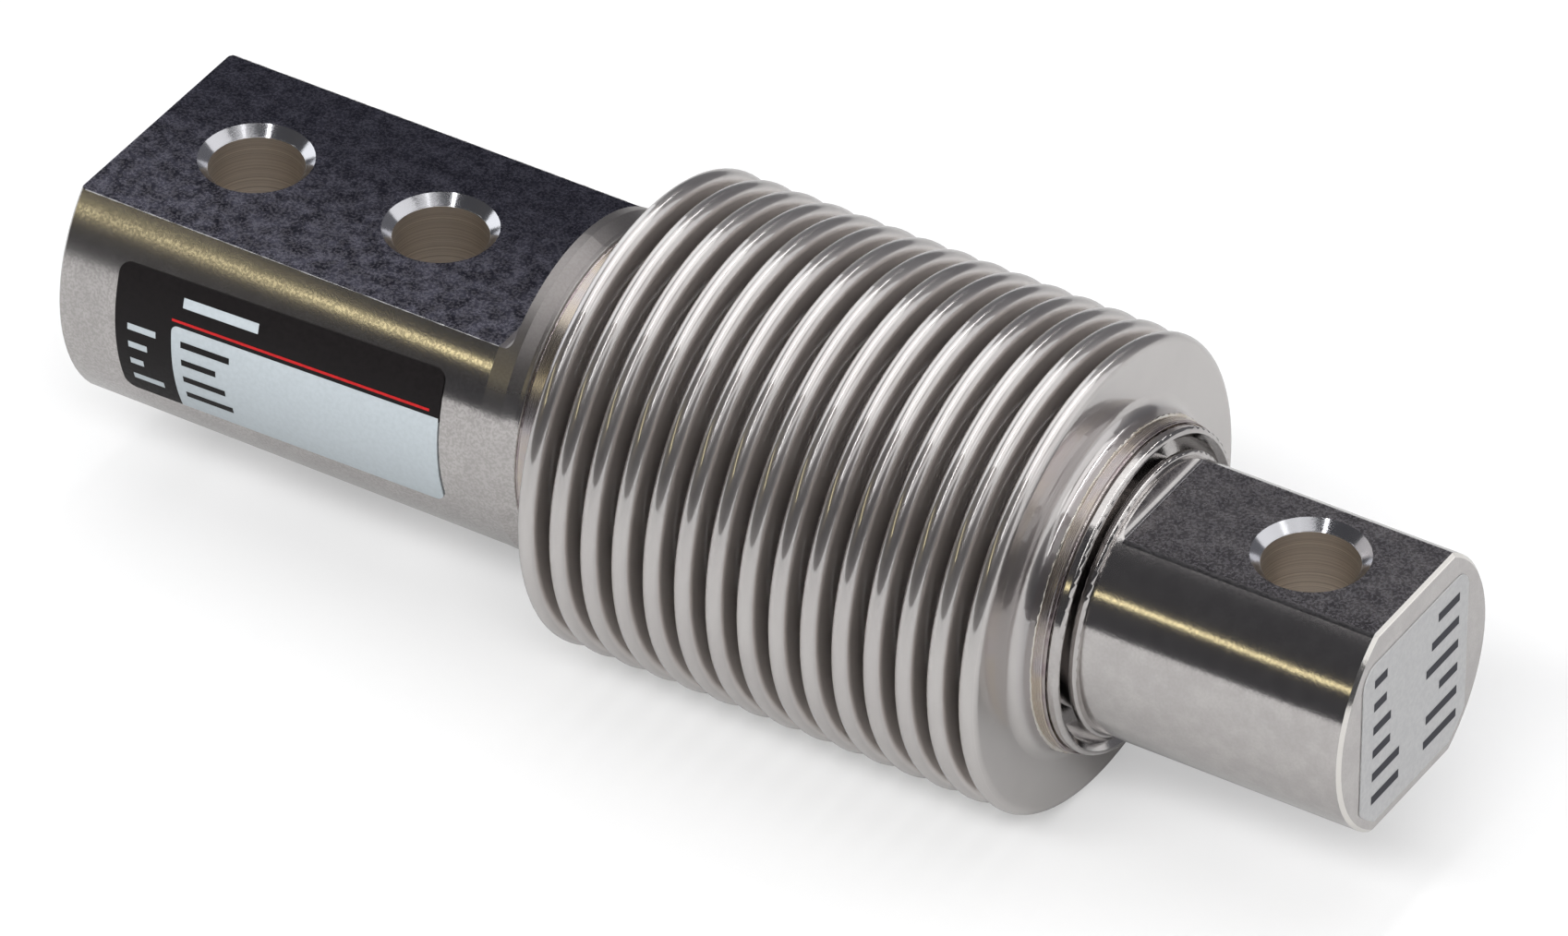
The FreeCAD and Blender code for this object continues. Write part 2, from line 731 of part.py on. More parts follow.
def make_terminal_board():
    body = new_body("terminal_board")
    half_long = board_length / 2
    half_wide = size["board_width"] / 2
    low = core_middle - half_long
    high = core_middle + half_long
    sketch = new_sketch(body, "board_outline", "XY_Plane", core_half_height)
    outline(sketch, round_box(low, high, -half_wide, half_wide, size["board_corner"]))
    pad(body, "board", sketch, size["board_thickness"])
    sketch = new_sketch(body, "first_pad_outline", "XY_Plane", board_top)
    first = wire_pad_x(0)
    half_pad = size["pad_width"] / 2
    half_row = size["pad_length"] / 2
    low = pad_row - half_row
    high = pad_row + half_row
    outline(sketch, box_corners(first - half_pad, first + half_pad, low, high))
    first_pad = pad(body, "first_wire_pad", sketch, size["pad_thickness"])
    pattern = body.newObject("PartDesign::LinearPattern", "wire_pads")
    pattern.Originals = [first_pad]
    pattern.Direction = (origin_plane(body, "X_Axis"), [""])
    bind(pattern, "Length", pad_pitch * 5)
    pattern.Occurrences = 6
    body.Tip = pattern
    doc.recompute()
    lift(body)
    return body


def make_trim_resistor(name, place):
    """Wire wound bobbin, glued across the terminal board."""
    body = new_body(name)
    cheek = size["trim_flange_radius"]
    core = size["trim_core_radius"]
    half = size["trim_length"] / 2
    width = size["trim_cheek"]
    revolve(body, f"{name}_bobbin", [
        (-half, ZERO),
        (-half, cheek),
        (-half + width, cheek),
        (-half + width, core),
        (half - width, core),
        (half - width, cheek),
        (half, cheek),
        (half, ZERO),
    ])
    x = core_middle + trim_pitch * place
    z = board_top + size["trim_flange_radius"] + size["trim_seat"] + size["half_height"]
    body.Placement = FreeCAD.Placement(
        FreeCAD.Vector(x.value, 0, z.value), FreeCAD.Rotation(FreeCAD.Vector(0, 0, 1), 90))
    bind(body, ".Placement.Base.x", x)
    bind(body, ".Placement.Base.y", -size["trim_row_offset"])
    bind(body, ".Placement.Base.z", z)
    return body


def bent_path(points, bend):
    """Straight runs between the points, joined by tangent arcs of one bend radius."""
    edges = []
    start = points[0]
    for before, corner, after in zip(points, points[1:], points[2:]):
        arrive = (corner - before).normalize()
        leave = (after - corner).normalize()
        turn = arrive.getAngle(leave)
        setback = bend * math.tan(turn / 2)
        first = corner - arrive * setback
        last = corner + leave * setback
        inward = (leave - arrive).normalize()
        middle = corner + inward * (bend / math.cos(turn / 2) - bend)
        edges.append(Part.LineSegment(start, first).toShape())
        edges.append(Part.Arc(first, middle, last).toShape())
        start = last
    edges.append(Part.LineSegment(start, points[-1]).toShape())
    return Part.Wire(edges)


def make_wire(name, points, radius, bend):
    """Round wire along a bent path, as one solid of constant section."""
    vectors = [FreeCAD.Vector(x.value, y.value, z.value) for x, y, z in points]
    path = bent_path(vectors, bend.value)
    section = Part.Circle(vectors[0], vectors[1] - vectors[0], radius.value).toShape()
    solid = path.makePipeShell([Part.Wire([section])], True, False)
    expected = path.Length * math.pi * radius.value ** 2
    if abs(solid.Volume / expected - 1) > 0.01:
        raise ValueError(f"{name} has the wrong volume")
    wire = doc.addObject("Part::Feature", name)
    wire.Label = name
    wire.Shape = solid
    lift(wire)
    return wire


def make_lead_wire(name, index):
    """One core of the cable, from the port through the passage to its board pad."""
    angle = math.radians(90 + 60 * (0, -1, 1, -2, 2, 3)[index])
    side = port_offset + bundle_radius * math.cos(angle)
    level = bundle_radius * math.sin(angle)
    turn_x = wire_pad_x(index)
    pad_top = board_top + size["pad_thickness"]
    arch = pad_top + size["wire_drop"] + size["wire_bend"]
    return make_wire(name, [
        (fixed_face + gland_cone_end + size["wire_tail"], side, level),
        (turn_x, side, level),
        (turn_x, side, arch),
        (turn_x, pad_row, arch),
        (turn_x, pad_row, pad_top),
    ], size["core_wire_radius"], size["wire_bend"])


def make_gauge_lead(name, x, side):
    """Thin lead from a gauge tab to the near edge of the terminal board."""
    inward = 1 if x.value < core_middle.value else -1
    tab_x = x + (size["gauge_length"] / 2 - size["tab_length"] / 2) * inward
    tab_y = -size["tab_pitch"] / 2
    tab_top = core_half_height + size["gauge_thickness"] + size["tab_thickness"]
    board_edge = core_middle - board_length / 2 * inward
    board_x = board_edge + size["gauge_wire_landing"] * inward
    rise = size["gauge_wire_rise"] + size["gauge_wire_bend"]
    arch = board_top + rise
    radius = size["gauge_wire_radius"]
    bend = size["gauge_wire_bend"]
    if side > 0:
        return make_wire(name, [
            (tab_x, tab_y, tab_top),
            (tab_x, tab_y, arch),
            (board_x, tab_y, arch),
            (board_x, tab_y, board_top),
        ], radius, bend)
    beside = -(core_half_width + size["gauge_wire_standoff"])
    below = -(tab_top + rise)
    board_y = -(size["board_width"] / 2 - size["gauge_wire_landing"])
    return make_wire(name, [
        (tab_x, tab_y, -tab_top),
        (tab_x, tab_y, below),
        (tab_x, beside, below),
        (tab_x, beside, arch),
        (board_x, beside, arch),
        (board_x, board_y, arch),
        (board_x, board_y, board_top),
    ], radius, bend)


def make_potting_plug():
    """Resin plug that holds the lead wires where they leave the passage."""
    body = new_body("potting_plug")
    start = fixed_shoulder - size["plug_length"]
    sketch = new_sketch(body, "plug_outline", "YZ_Plane", start)
    circle(sketch, port_offset, ZERO, passage_radius - size["plug_clearance"])
    pad(body, "plug", sketch, size["plug_length"])
    sketch = new_sketch(body, "wire_holes_outline", "YZ_Plane", start)
    radius = size["core_wire_radius"] + size["plug_clearance"]
    for index in range(6):
        angle = math.radians(90 + 60 * index)
        side = port_offset + bundle_radius * math.cos(angle)
        level = bundle_radius * math.sin(angle)
        circle(sketch, side, level, radius)
    pocket_depth(body, "wire_holes", sketch, size["plug_length"], True)
    lift(body)
    return body


def set_at_port(body):
    """Put a turned gland part on the port's axis, its own x measured from the end face."""
    bind(body, ".Placement.Base.x", fixed_face)
    bind(body, ".Placement.Base.y", port_offset)
    bind(body, ".Placement.Base.z", size["half_height"])


def make_gland_body():
    """Screwed sleeve in the cable port, with a rim that seats on the end face."""
    body = new_body("cable_gland_body")
    rim = size["gland_flange_width"]
    revolve(body, "gland_sleeve", [
        (-rim, gland_mouth_radius),
        (-rim, gland_flange_radius),
        (ZERO, gland_flange_radius),
        (ZERO, gland_sleeve_radius),
        (size["port_depth"], gland_sleeve_radius),
        (size["port_depth"], size["gland_throat_radius"]),
        (gland_cone_end, size["gland_throat_radius"]),
        (gland_mouth_end, gland_mouth_radius),
    ])
    set_at_port(body)
    return body


def make_cable_seal():
    """Rubber sleeve that closes on the cable, its end fitting the gland's cone."""
    body = new_body("cable_seal")
    tip = gland_mouth_end + size["gland_cone_length"] / 2
    tip_radius = (gland_insert_radius + size["gland_throat_radius"]) / 2
    revolve(body, "seal_sleeve", [
        (gland_seal_start, size["cable_bore_radius"]),
        (gland_seal_start, gland_insert_radius),
        (gland_mouth_end, gland_insert_radius),
        (tip, tip_radius),
        (tip, size["cable_bore_radius"]),
    ])
    set_at_port(body)
    return body


def make_gland_washer():
    body = new_body("gland_washer")
    revolve(body, "washer_turning", [
        (gland_washer_start, size["cable_bore_radius"]),
        (gland_washer_start, gland_insert_radius),
        (gland_seal_start, gland_insert_radius),
        (gland_seal_start, size["cable_bore_radius"]),
    ])
    set_at_port(body)
    return body


def make_gland_screw():
    """Hollow hexagon screw that presses the washer on the seal."""
    body = new_body("gland_pressure_screw")
    rim = size["gland_flange_width"]
    head_end = -(rim + size["nut_head_width"])
    across = size["nut_hex_width"] / 2
    corner = size["nut_hex_width"] / math.sqrt(3)
    bevel = size["nut_bevel"]
    revolve(body, "screw_turning", [
        (head_end, size["cable_bore_radius"]),
        (head_end, across),
        (head_end + bevel, corner),
        (-rim, corner),
        (-rim, gland_insert_radius),
        (gland_washer_start, gland_insert_radius),
        (gland_washer_start, size["cable_bore_radius"]),
    ])
    sketch = new_sketch(body, "hexagon_outline", "YZ_Plane", head_end)
    outside = corner + bevel
    circle(sketch, ZERO, ZERO, outside)
    hexagon = []
    for step in range(6):
        angle = math.radians(60 * step)
        y = corner * math.cos(angle)
        z = corner * math.sin(angle)
        hexagon.append((y, ZERO if step in (0, 3) else z))
    outline(sketch, hexagon)
    pocket_depth(body, "hexagon_flats", sketch, size["nut_head_width"], True)
    set_at_port(body)
    return body


def named(kind, name):
    thing = doc.addObject(kind, name)
    thing.Label = name
    return thing


def lying_cylinder(name, radius, start, length):
    """Cylinder along the centre line from the station start."""
    rod = named("Part::Cylinder", name)
    rod.Placement = FreeCAD.Placement(
        FreeCAD.Vector(start.value, 0, 0), FreeCAD.Rotation(FreeCAD.Vector(0, 1, 0), 90))
    bind(rod, "Radius", radius)
    bind(rod, "Height", length)
    bind(rod, ".Placement.Base.x", start)
    return rod


def rounded_block(name, lengths, radius, axis):
    """Box with the four edges along one axis rounded."""
    block = named("Part::Box", f"{name}_block")
    for prop, length in zip(("Length", "Width", "Height"), lengths):
        bind(block, prop, length)
    doc.recompute()
    along = FreeCAD.Vector(*axis)
    picked = []
    for number, edge in enumerate(block.Shape.Edges, start=1):
        if abs(edge.tangentAt(edge.FirstParameter).dot(along)) > 0.999:
            picked.append((number, radius.value, radius.value))
    fillet = named("Part::Fillet", name)
    fillet.Base = block
    fillet.Edges = picked
    doc.recompute()
    return fillet


def make_rating_label():
    """Thin label, bent round the near side of the fixed end and slightly askew."""
    tilt = size["rating_tilt"]
    inner = fixed_radius + size["label_glue"]
    outer = inner + size["label_thickness"]
    skin = named("Part::Cut", "rating_skin")
    length = collar_start - fixed_face
    skin.Base = lying_cylinder("rating_outside", outer, fixed_face, length)
    skin.Tool = lying_cylinder("rating_inside", inner, fixed_face, length)
    long = size["rating_length"]
    tall = size["rating_height"]
    blank = rounded_block("rating_blank", (long, outer, tall), size["rating_corner"], (0, 1, 0))
    blank.Placement = FreeCAD.Placement(
        FreeCAD.Vector(0, 0, 0), FreeCAD.Rotation(FreeCAD.Vector(0, 1, 0), -tilt.value))
    middle_x = fixed_face + size["rating_from_face"]
    corner_x = middle_x - long / 2 * cosine(tilt) + tall / 2 * sine(tilt)
    corner_z = size["rating_rise"] - tall / 2 * cosine(tilt) - long / 2 * sine(tilt)
    bind(blank, ".Placement.Rotation.Angle", -tilt)
    bind(blank, ".Placement.Base.x", corner_x)
    bind(blank, ".Placement.Base.y", -outer)
    bind(blank, ".Placement.Base.z", corner_z)
    label = named("Part::Common", "rating_label")
    label.Base = skin
    label.Tool = blank
    lift(label)
    return label


def make_wiring_label():
    """Thin label on the load end face, cut round where the face is round."""
    glue = load_face + size["label_glue"]
    round_radius = load_radius - size["wiring_margin"]
    wide = (round_radius - size["wiring_side_trim"]) * 2
    foot = size["wiring_foot_margin"] - size["half_height"]
    tall = size["half_height"] - size["wiring_top_margin"] - foot
    thick = size["label_thickness"]
    blank = rounded_block("wiring_blank", (thick, wide, tall), size["wiring_corner"], (1, 0, 0))
    bind(blank, ".Placement.Base.x", glue)
    bind(blank, ".Placement.Base.y", -wide / 2)
    bind(blank, ".Placement.Base.z", foot)
    label = named("Part::Common", "wiring_label")
    label.Base = lying_cylinder("wiring_disc", round_radius, glue, thick)
    label.Tool = blank
    lift(label)
    return label


def make_all():
    parts = [make_spring_beam(), make_bellows()]
    parts.append(make_weld_ring("fixed_weld_ring", fixed_lip_end, fixed_shoulder, 1))
    parts.append(make_weld_ring("load_weld_ring", load_lip_start, load_shoulder, -1))
    fixed_web = core_middle - web_bore_offset
    load_web = core_middle + web_bore_offset
    for level, side in (("top", 1), ("bottom", -1)):
        for end, x in (("fixed", fixed_web), ("load", load_web)):
            parts.append(make_gauge(f"{level}_{end}_gauge", x, side))
            parts.append(make_gauge_lead(f"{level}_{end}_gauge_lead", x, side))
    parts.append(make_terminal_board())
    for name, place in (("zero_trim", -1), ("span_trim", 0), ("temperature_trim", 1)):
        parts.append(make_trim_resistor(f"{name}_resistor", place))
    for index, colour in enumerate(("blue", "black", "white", "red", "green", "grey")):
        parts.append(make_lead_wire(f"{colour}_lead_wire", index))
    parts.append(make_potting_plug())
    parts += [make_gland_body(), make_cable_seal(), make_gland_washer(), make_gland_screw()]
    parts += [make_rating_label(), make_wiring_label()]
    return parts


def check_and_write(parts):
    doc.recompute()
    for thing in doc.Objects:
        if "Invalid" in thing.State or "Error" in thing.State:
            raise ValueError(f"{thing.Label} failed to build: {thing.State}")
    for part in parts:
        if part.Shape.isNull() or not part.Shape.isValid() or len(part.Shape.Solids) != 1:
            raise ValueError(f"{part.Label} is not one sound solid")
    os.makedirs("parts", exist_ok=True)
    for part in parts:
        part.Shape.exportStep(f"parts/{part.Label}.step")
        print(part.Label, round(part.Shape.Volume, 2))


check_and_write(make_all())
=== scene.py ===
import json
import math
import random
from types import SimpleNamespace

import bmesh
import bpy
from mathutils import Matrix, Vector


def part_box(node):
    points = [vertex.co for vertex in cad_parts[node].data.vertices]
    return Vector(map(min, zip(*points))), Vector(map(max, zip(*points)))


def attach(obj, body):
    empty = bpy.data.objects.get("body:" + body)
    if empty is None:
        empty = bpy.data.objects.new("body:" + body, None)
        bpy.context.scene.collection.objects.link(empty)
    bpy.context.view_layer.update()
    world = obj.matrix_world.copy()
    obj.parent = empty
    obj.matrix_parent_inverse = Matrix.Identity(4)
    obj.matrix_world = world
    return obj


# A single-ended bending beam load cell with a welded metal bellows. +X runs from the
# bolted fixed end to the load end, +Z is up and all lengths are in metres.

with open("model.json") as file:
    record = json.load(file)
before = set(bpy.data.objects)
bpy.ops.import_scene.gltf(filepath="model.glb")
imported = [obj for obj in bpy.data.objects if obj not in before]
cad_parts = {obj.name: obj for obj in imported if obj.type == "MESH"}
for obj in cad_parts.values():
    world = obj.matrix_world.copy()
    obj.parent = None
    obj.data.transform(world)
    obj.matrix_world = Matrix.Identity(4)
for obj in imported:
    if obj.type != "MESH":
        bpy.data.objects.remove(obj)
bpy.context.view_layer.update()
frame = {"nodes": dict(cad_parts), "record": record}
nodes = frame["nodes"]
MM = 0.001

# Places read from the frame
BEAM_LOW, BEAM_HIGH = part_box("spring_beam")
BELLOWS_LOW, BELLOWS_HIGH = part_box("bellows")
FIXED_RING_LOW, FIXED_RING_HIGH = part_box("fixed_weld_ring")
LOAD_RING_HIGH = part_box("load_weld_ring")[1]
RATING_LOW, RATING_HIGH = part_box("rating_label")
WIRING_LOW, WIRING_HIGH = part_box("wiring_label")
AXIS_Z = (BELLOWS_LOW[2] + BELLOWS_HIGH[2]) / 2
FLOOR_Z = BELLOWS_LOW[2]
RING_RADIUS = (FIXED_RING_HIGH[2] - FIXED_RING_LOW[2]) / 2
FIXED_RADIUS = (BEAM_HIGH[2] - BEAM_LOW[2]) / 2
MOUNTS = {mount["name"]: mount for mount in frame["record"]["mounts"]}
FLAT_TOP = MOUNTS["fixed_end_top"]["pos_m"][2]
BOLT_X = MOUNTS["fixed_end_bolts"]["dims"]["spacing_x_mm"] / 2 * MM
LOAD_BORE = MOUNTS["load_bore"]
BORE_XS = (-BOLT_X, BOLT_X, LOAD_BORE["pos_m"][0])
BORE_RADIUS = LOAD_BORE["dims"]["r_mm"] * MM
BELLOWS_RADIUS = (BELLOWS_HIGH[2] - BELLOWS_LOW[2]) / 2
BELLOWS_MIDDLE_X = (BELLOWS_LOW[0] + BELLOWS_HIGH[0]) / 2
BELLOWS_HALF_LENGTH = BELLOWS_HIGH[0] - BELLOWS_MIDDLE_X
BEAM_MIDDLE = (53 * MM, 0.0, AXIS_Z)

# Where the finishes of the beam and the bellows change, and where painted shade and highlights lie
BEVEL_REACH = BORE_RADIUS + 1.3 * MM
BORE_WALL_REACH = BORE_RADIUS + 0.05 * MM
LOAD_FLAT_START = LOAD_BORE["pos_m"][0] - 17.6 * MM
# The collar starts here; its upper side carries painted shade
COLLAR_START = FIXED_RING_LOW[0] - 4.5 * MM
SATIN_END = 40 * MM
POLISH_START = 50 * MM
POLISH_FULL = 60 * MM
FLAT_TOLERANCE = 0.02 * MM
# Painted shade: a dark line on the fillet just below the load end's flats
EDGE_LINE_START = 0.25 * MM
EDGE_LINE_FADE = 0.1 * MM
# Painted highlight: the load end's bevel is coloured near white
RIM_WIDTH = 0.5 * MM
CREST_ROUND = 1.1 * MM
# Depth over which the painted shade deep in the bellows' folds turns to painted light
FLANK_DEPTH = 4 * MM
DISC_TO_CUFF_END = 2.1 * MM
HEAT_START = 1.9 * MM
HEAT_FULL = 0.6 * MM

# Camera at the photograph's viewing angle
CAMERA_PLACE = (0.65593, -0.96262, 0.88153)
CAMERA_AZIMUTH = 31.99
CAMERA_ELEVATION = 37.48
CAMERA_LENS = 311.69
CAMERA_SENSOR = 36
CAMERA_REACH = 10

# Studio
LAMP_DISTANCE = 2.5
OVERHEAD_HEIGHT = 2.2
FLOOR_REACH = 4.0
FLOOR_TONE = 0.47
FLOOR_SEEN = 0.385
FLOOR_MIRRORED = 0.02
ROOM_LEVEL = 0.065
ROOM_BACK_LEVEL = 0.14
BELOW_HORIZON_LEVEL = 0.8
ROOM_BLUE = 1.08


def linear(red, green, blue):
    """Linear colour from an sRGB colour given as 0 to 255."""
    parts = [value / 255 for value in (red, green, blue)]
    return tuple(p / 12.92 if p < 0.04045 else ((p + 0.055) / 1.055) ** 2.4 for p in parts)


def shade(colour, share):
    """The same colour, darker."""
    return tuple(part * share for part in colour)


# Colours that the labels' film and print share
LABEL_INK = (0.009, 0.0075, 0.008)
LABEL_PALE = linear(182, 190, 195)


class Shader:
    """A node tree with short calls for the nodes that the materials share."""

    def __init__(self, tree):
        self.tree = tree

    def node(self, kind, **settings):
        made = self.tree.nodes.new(kind)
        for key, value in settings.items():
            setattr(made, key, value)
        return made

    def feed(self, socket, value):
        """Link a socket to another's output, or set it to a number or a colour."""
        if isinstance(value, bpy.types.NodeSocket):
            self.tree.links.new(value, socket)
        elif isinstance(value, tuple) and socket.type == "RGBA":
            socket.default_value = (*value[:3], 1)
        else:
            socket.default_value = value

    def math(self, operation, first, second=0.0, clamp=False):
        made = self.node("ShaderNodeMath", operation=operation, use_clamp=clamp)
        self.feed(made.inputs[0], first)
        self.feed(made.inputs[1], second)
        return made.outputs[0]

    def times(self, *values):
        """Product of all the values."""
        product = values[0]
        for value in values[1:]:
            product = self.math("MULTIPLY", product, value)
        return product

    def place(self):
        """Position in the row frame, in metres: every object sits at the origin."""
        return self.node("ShaderNodeTexCoord").outputs["Object"]

    def split(self, vector):
        made = self.node("ShaderNodeSeparateXYZ")
        self.feed(made.inputs[0], vector)
        return made.outputs

    def join(self, x, y, z):
        made = self.node("ShaderNodeCombineXYZ")
        for socket, value in zip(made.inputs, (x, y, z)):
            self.feed(socket, value)
        return made.outputs[0]

    def noise(self, vector, size, detail=2.0):
        """Noise with features about as large as size, in metres."""
        made = self.node("ShaderNodeTexNoise")
        self.feed(made.inputs["Vector"], vector)
        self.feed(made.inputs["Scale"], 1 / size)
        self.feed(made.inputs["Detail"], detail)
        return made.outputs["Fac"]

    def ramp(self, value, low, high, out_low=0.0, out_high=1.0):
        """Smooth step from out_low where value is low to out_high where it is high."""
        made = self.node("ShaderNodeMapRange", interpolation_type="SMOOTHSTEP")
        for socket, number in zip(made.inputs, (value, low, high, out_low, out_high)):
            self.feed(socket, number)
        return made.outputs[0]

    def mix(self, share, first, second):
        """Colour between first and second."""
        made = self.node("ShaderNodeMix", data_type="RGBA")
        self.feed(made.inputs[0], share)
        self.feed(made.inputs[6], first)
        self.feed(made.inputs[7], second)
        return made.outputs[2]

    def blend(self, share, first, second):
        """Number between first and second."""
        made = self.node("ShaderNodeMix", data_type="FLOAT")
        for socket, value in zip(made.inputs, (share, None, first, second)):
            if value is not None:
                self.feed(socket, value)
        return made.outputs[0]

    def bump(self, height, distance):
        """Normal of a surface raised by height times distance, in metres."""
        made = self.node("ShaderNodeBump")
        self.feed(made.inputs["Height"], height)
        made.inputs["Distance"].default_value = distance
        return made.outputs["Normal"]

    def length(self, first, second):
        """Length of a vector from its two sides."""
        squares = [self.math("MULTIPLY", side, side) for side in (first, second)]
        return self.math("SQRT", self.math("ADD", *squares))


def material(name, **constants):
    """New material. Each constant is named after the shader's own socket that it sets."""
    made = bpy.data.materials.new(name)
    made.use_nodes = True
    shader = Shader(made.node_tree)
    surface = made.node_tree.nodes["Principled BSDF"]
    for key, value in constants.items():
        socket = key.replace("_", " ").title().replace("Ior", "IOR")
        shader.feed(surface.inputs[socket], value)
    return made, shader, surface


def dress(finish, *names):
    """Give CAD nodes a material."""
    for name in names:
        mesh = nodes[name].data
        mesh.materials.clear()
        mesh.materials.append(finish)


def near_bore(s, reach):
    """1 inside reach of any bore's axis, 0 outside."""
    x, y, _ = s.split(s.place())
    total = 0.0
    for bore_x in BORE_XS:
        away = s.length(s.math("SUBTRACT", x, bore_x), y)
        total = s.math("ADD", s.math("LESS_THAN", away, reach), total, True)
    return total


def beam_zones(s):
    """Where each finish of the beam lies, and where its painted shade and highlight lie, each as a
    share from 0 to 1.
    """
    x, _, z = s.split(s.place())
    normal_x, _, normal_z = s.split(s.node("ShaderNodeNewGeometry").outputs["Normal"])
    upright = s.math("ABSOLUTE", normal_z)
    level = s.math("ABSOLUTE", s.math("SUBTRACT", z, AXIS_Z))
    below_flat = s.math("SUBTRACT", FLAT_TOP - AXIS_Z, level)
    in_plane = s.math("LESS_THAN", s.math("ABSOLUTE", below_flat), FLAT_TOLERANCE)
    flat = s.times(s.math("GREATER_THAN", upright, 0.99), in_plane)
    slope = s.times(s.ramp(upright, 0.6, 0.68), s.math("LESS_THAN", upright, 0.8))
    edge_line_end = EDGE_LINE_START + EDGE_LINE_FADE
    beside_flat = s.times(s.ramp(below_flat, EDGE_LINE_START, edge_line_end, 1.0, 0.0),
                          s.math("GREATER_THAN", x, LOAD_FLAT_START))
    end_slope = s.times(s.math("GREATER_THAN", normal_x, 0.15), s.math("LESS_THAN", normal_x, 0.98))
    before_ring = s.times(s.math("GREATER_THAN", x, COLLAR_START),
                          s.math("LESS_THAN", x, FIXED_RING_LOW[0]))
    return SimpleNamespace(
        flat=flat,
        bevel=s.times(slope, near_bore(s, BEVEL_REACH)),
        bore=near_bore(s, BORE_WALL_REACH),
        load_end=s.ramp(x, POLISH_START, POLISH_FULL),
        # edge is painted shade beside the load end's flats, rim a painted highlight on the end
        # bevel, collar painted shade on the collar's upper side as well as its rougher finish
        edge=s.times(beside_flat, s.math("SUBTRACT", 1.0, flat)),
        rim=s.times(end_slope, s.math("GREATER_THAN", x, BEAM_HIGH[0] - RIM_WIDTH)),
        collar=s.times(before_ring, s.ramp(z, AXIS_Z + 6 * MM, AXIS_Z + 12 * MM)),
    )


def flats_colour(s, zones, grain, patches):
    """Dark oxide in patches with paler flecks, darkest on the far side of the fixed end
    and along the near edge of the load end."""
    y = s.split(s.place())[1]
    near_side = s.ramp(y, -14 * MM, 10 * MM, 1.0, 0.25)
    fixed_flat = s.mix(s.times(patches, near_side), (0.036, 0.036, 0.054), (0.22, 0.217, 0.28))
    load_flat = s.mix(patches, (0.15, 0.142, 0.15), (0.27, 0.255, 0.26))
    near_edge = s.ramp(y, -10 * MM, -3 * MM, 0.6, 0.0)
    load_flat = s.mix(near_edge, load_flat, (0.08, 0.075, 0.08))
    flecks = s.times(grain, s.blend(zones.load_end, s.times(near_side, 0.3), 0.3))
    return s.mix(flecks, s.mix(zones.load_end, fixed_flat, load_flat), (0.42, 0.40, 0.43))


def base_colour(s, zones, grain, patches):
    """Turned steel, its grain stronger at the fixed end, and the dark flats."""
    turned = s.mix(patches, (0.58, 0.555, 0.545), (0.64, 0.615, 0.60))
    share = s.times(grain, s.blend(zones.load_end, 0.5, 0.12))
    turned = s.mix(share, turned, (0.40, 0.38, 0.37))
    return s.mix(zones.flat, turned, flats_colour(s, zones, grain, patches))


def with_painted_shade_and_highlight(s, zones, tone):
    """The colour with painted shade as a dark line beside the load end's flats, a painted
    highlight on the end bevel and painted shade on the collar's upper side before the ring."""
    # Painted shade: a dark line on the fillet beside the load end's flats
    tone = s.mix(zones.edge, tone, (0.13, 0.125, 0.13))
    # Painted highlight: the load end's bevel coloured near white
    tone = s.mix(s.times(zones.rim, 0.8), tone, (1.0, 0.97, 0.92))
    # Painted shade on the collar's upper side, where it mirrors the overhead lamps
    return s.mix(s.times(zones.collar, 0.75), tone, (0.25, 0.23, 0.225))


def beam_steel():
    """Machined stainless: dark grained flats, a satin fixed end, a polished load end,
    bright bevels round the bores and fine tool rings inside them."""
    made, s, surface = material("beam_steel", metallic=1.0)
    place = s.place()
    x, _, z = s.split(place)
    zones = beam_zones(s)
    grain = s.ramp(s.noise(place, 0.3 * MM), 0.4, 0.6)
    patches = s.ramp(s.noise(place, 2.0 * MM, 6.0), 0.34, 0.70)
    # Painted shade beside the load end's flats and on the collar, and a painted highlight on the end
    # bevel
    tone = with_painted_shade_and_highlight(s, zones, base_colour(s, zones, grain, patches))
    rings = s.noise(s.join(0.0, 0.0, z), 0.22 * MM, 3.0)
    cut = s.mix(s.ramp(rings, 0.35, 0.65), (0.66, 0.60, 0.54), (1.0, 0.93, 0.85))
    tone = s.mix(zones.bevel, s.mix(zones.bore, tone, cut), (0.70, 0.70, 0.73))
    s.feed(surface.inputs["Base Color"], tone)
    turned = s.math("ADD", s.ramp(x, BEAM_LOW[0], SATIN_END, 0.20, 0.11), s.times(grain, 0.03))
    milled = s.math("ADD", 0.23, s.times(grain, 0.06))
    rough = s.blend(zones.collar, s.blend(zones.flat, turned, milled), 0.36)
    rough = s.blend(zones.bore, rough, 0.42)
    s.feed(surface.inputs["Roughness"], s.blend(zones.bevel, rough, 0.13))
    relief = s.times(grain, s.blend(zones.flat, 0.04, 0.12))
    height = s.blend(zones.bore, relief, s.times(rings, 2.0))
    s.feed(surface.inputs["Normal"], s.bump(height, 0.02 * MM))
    return made


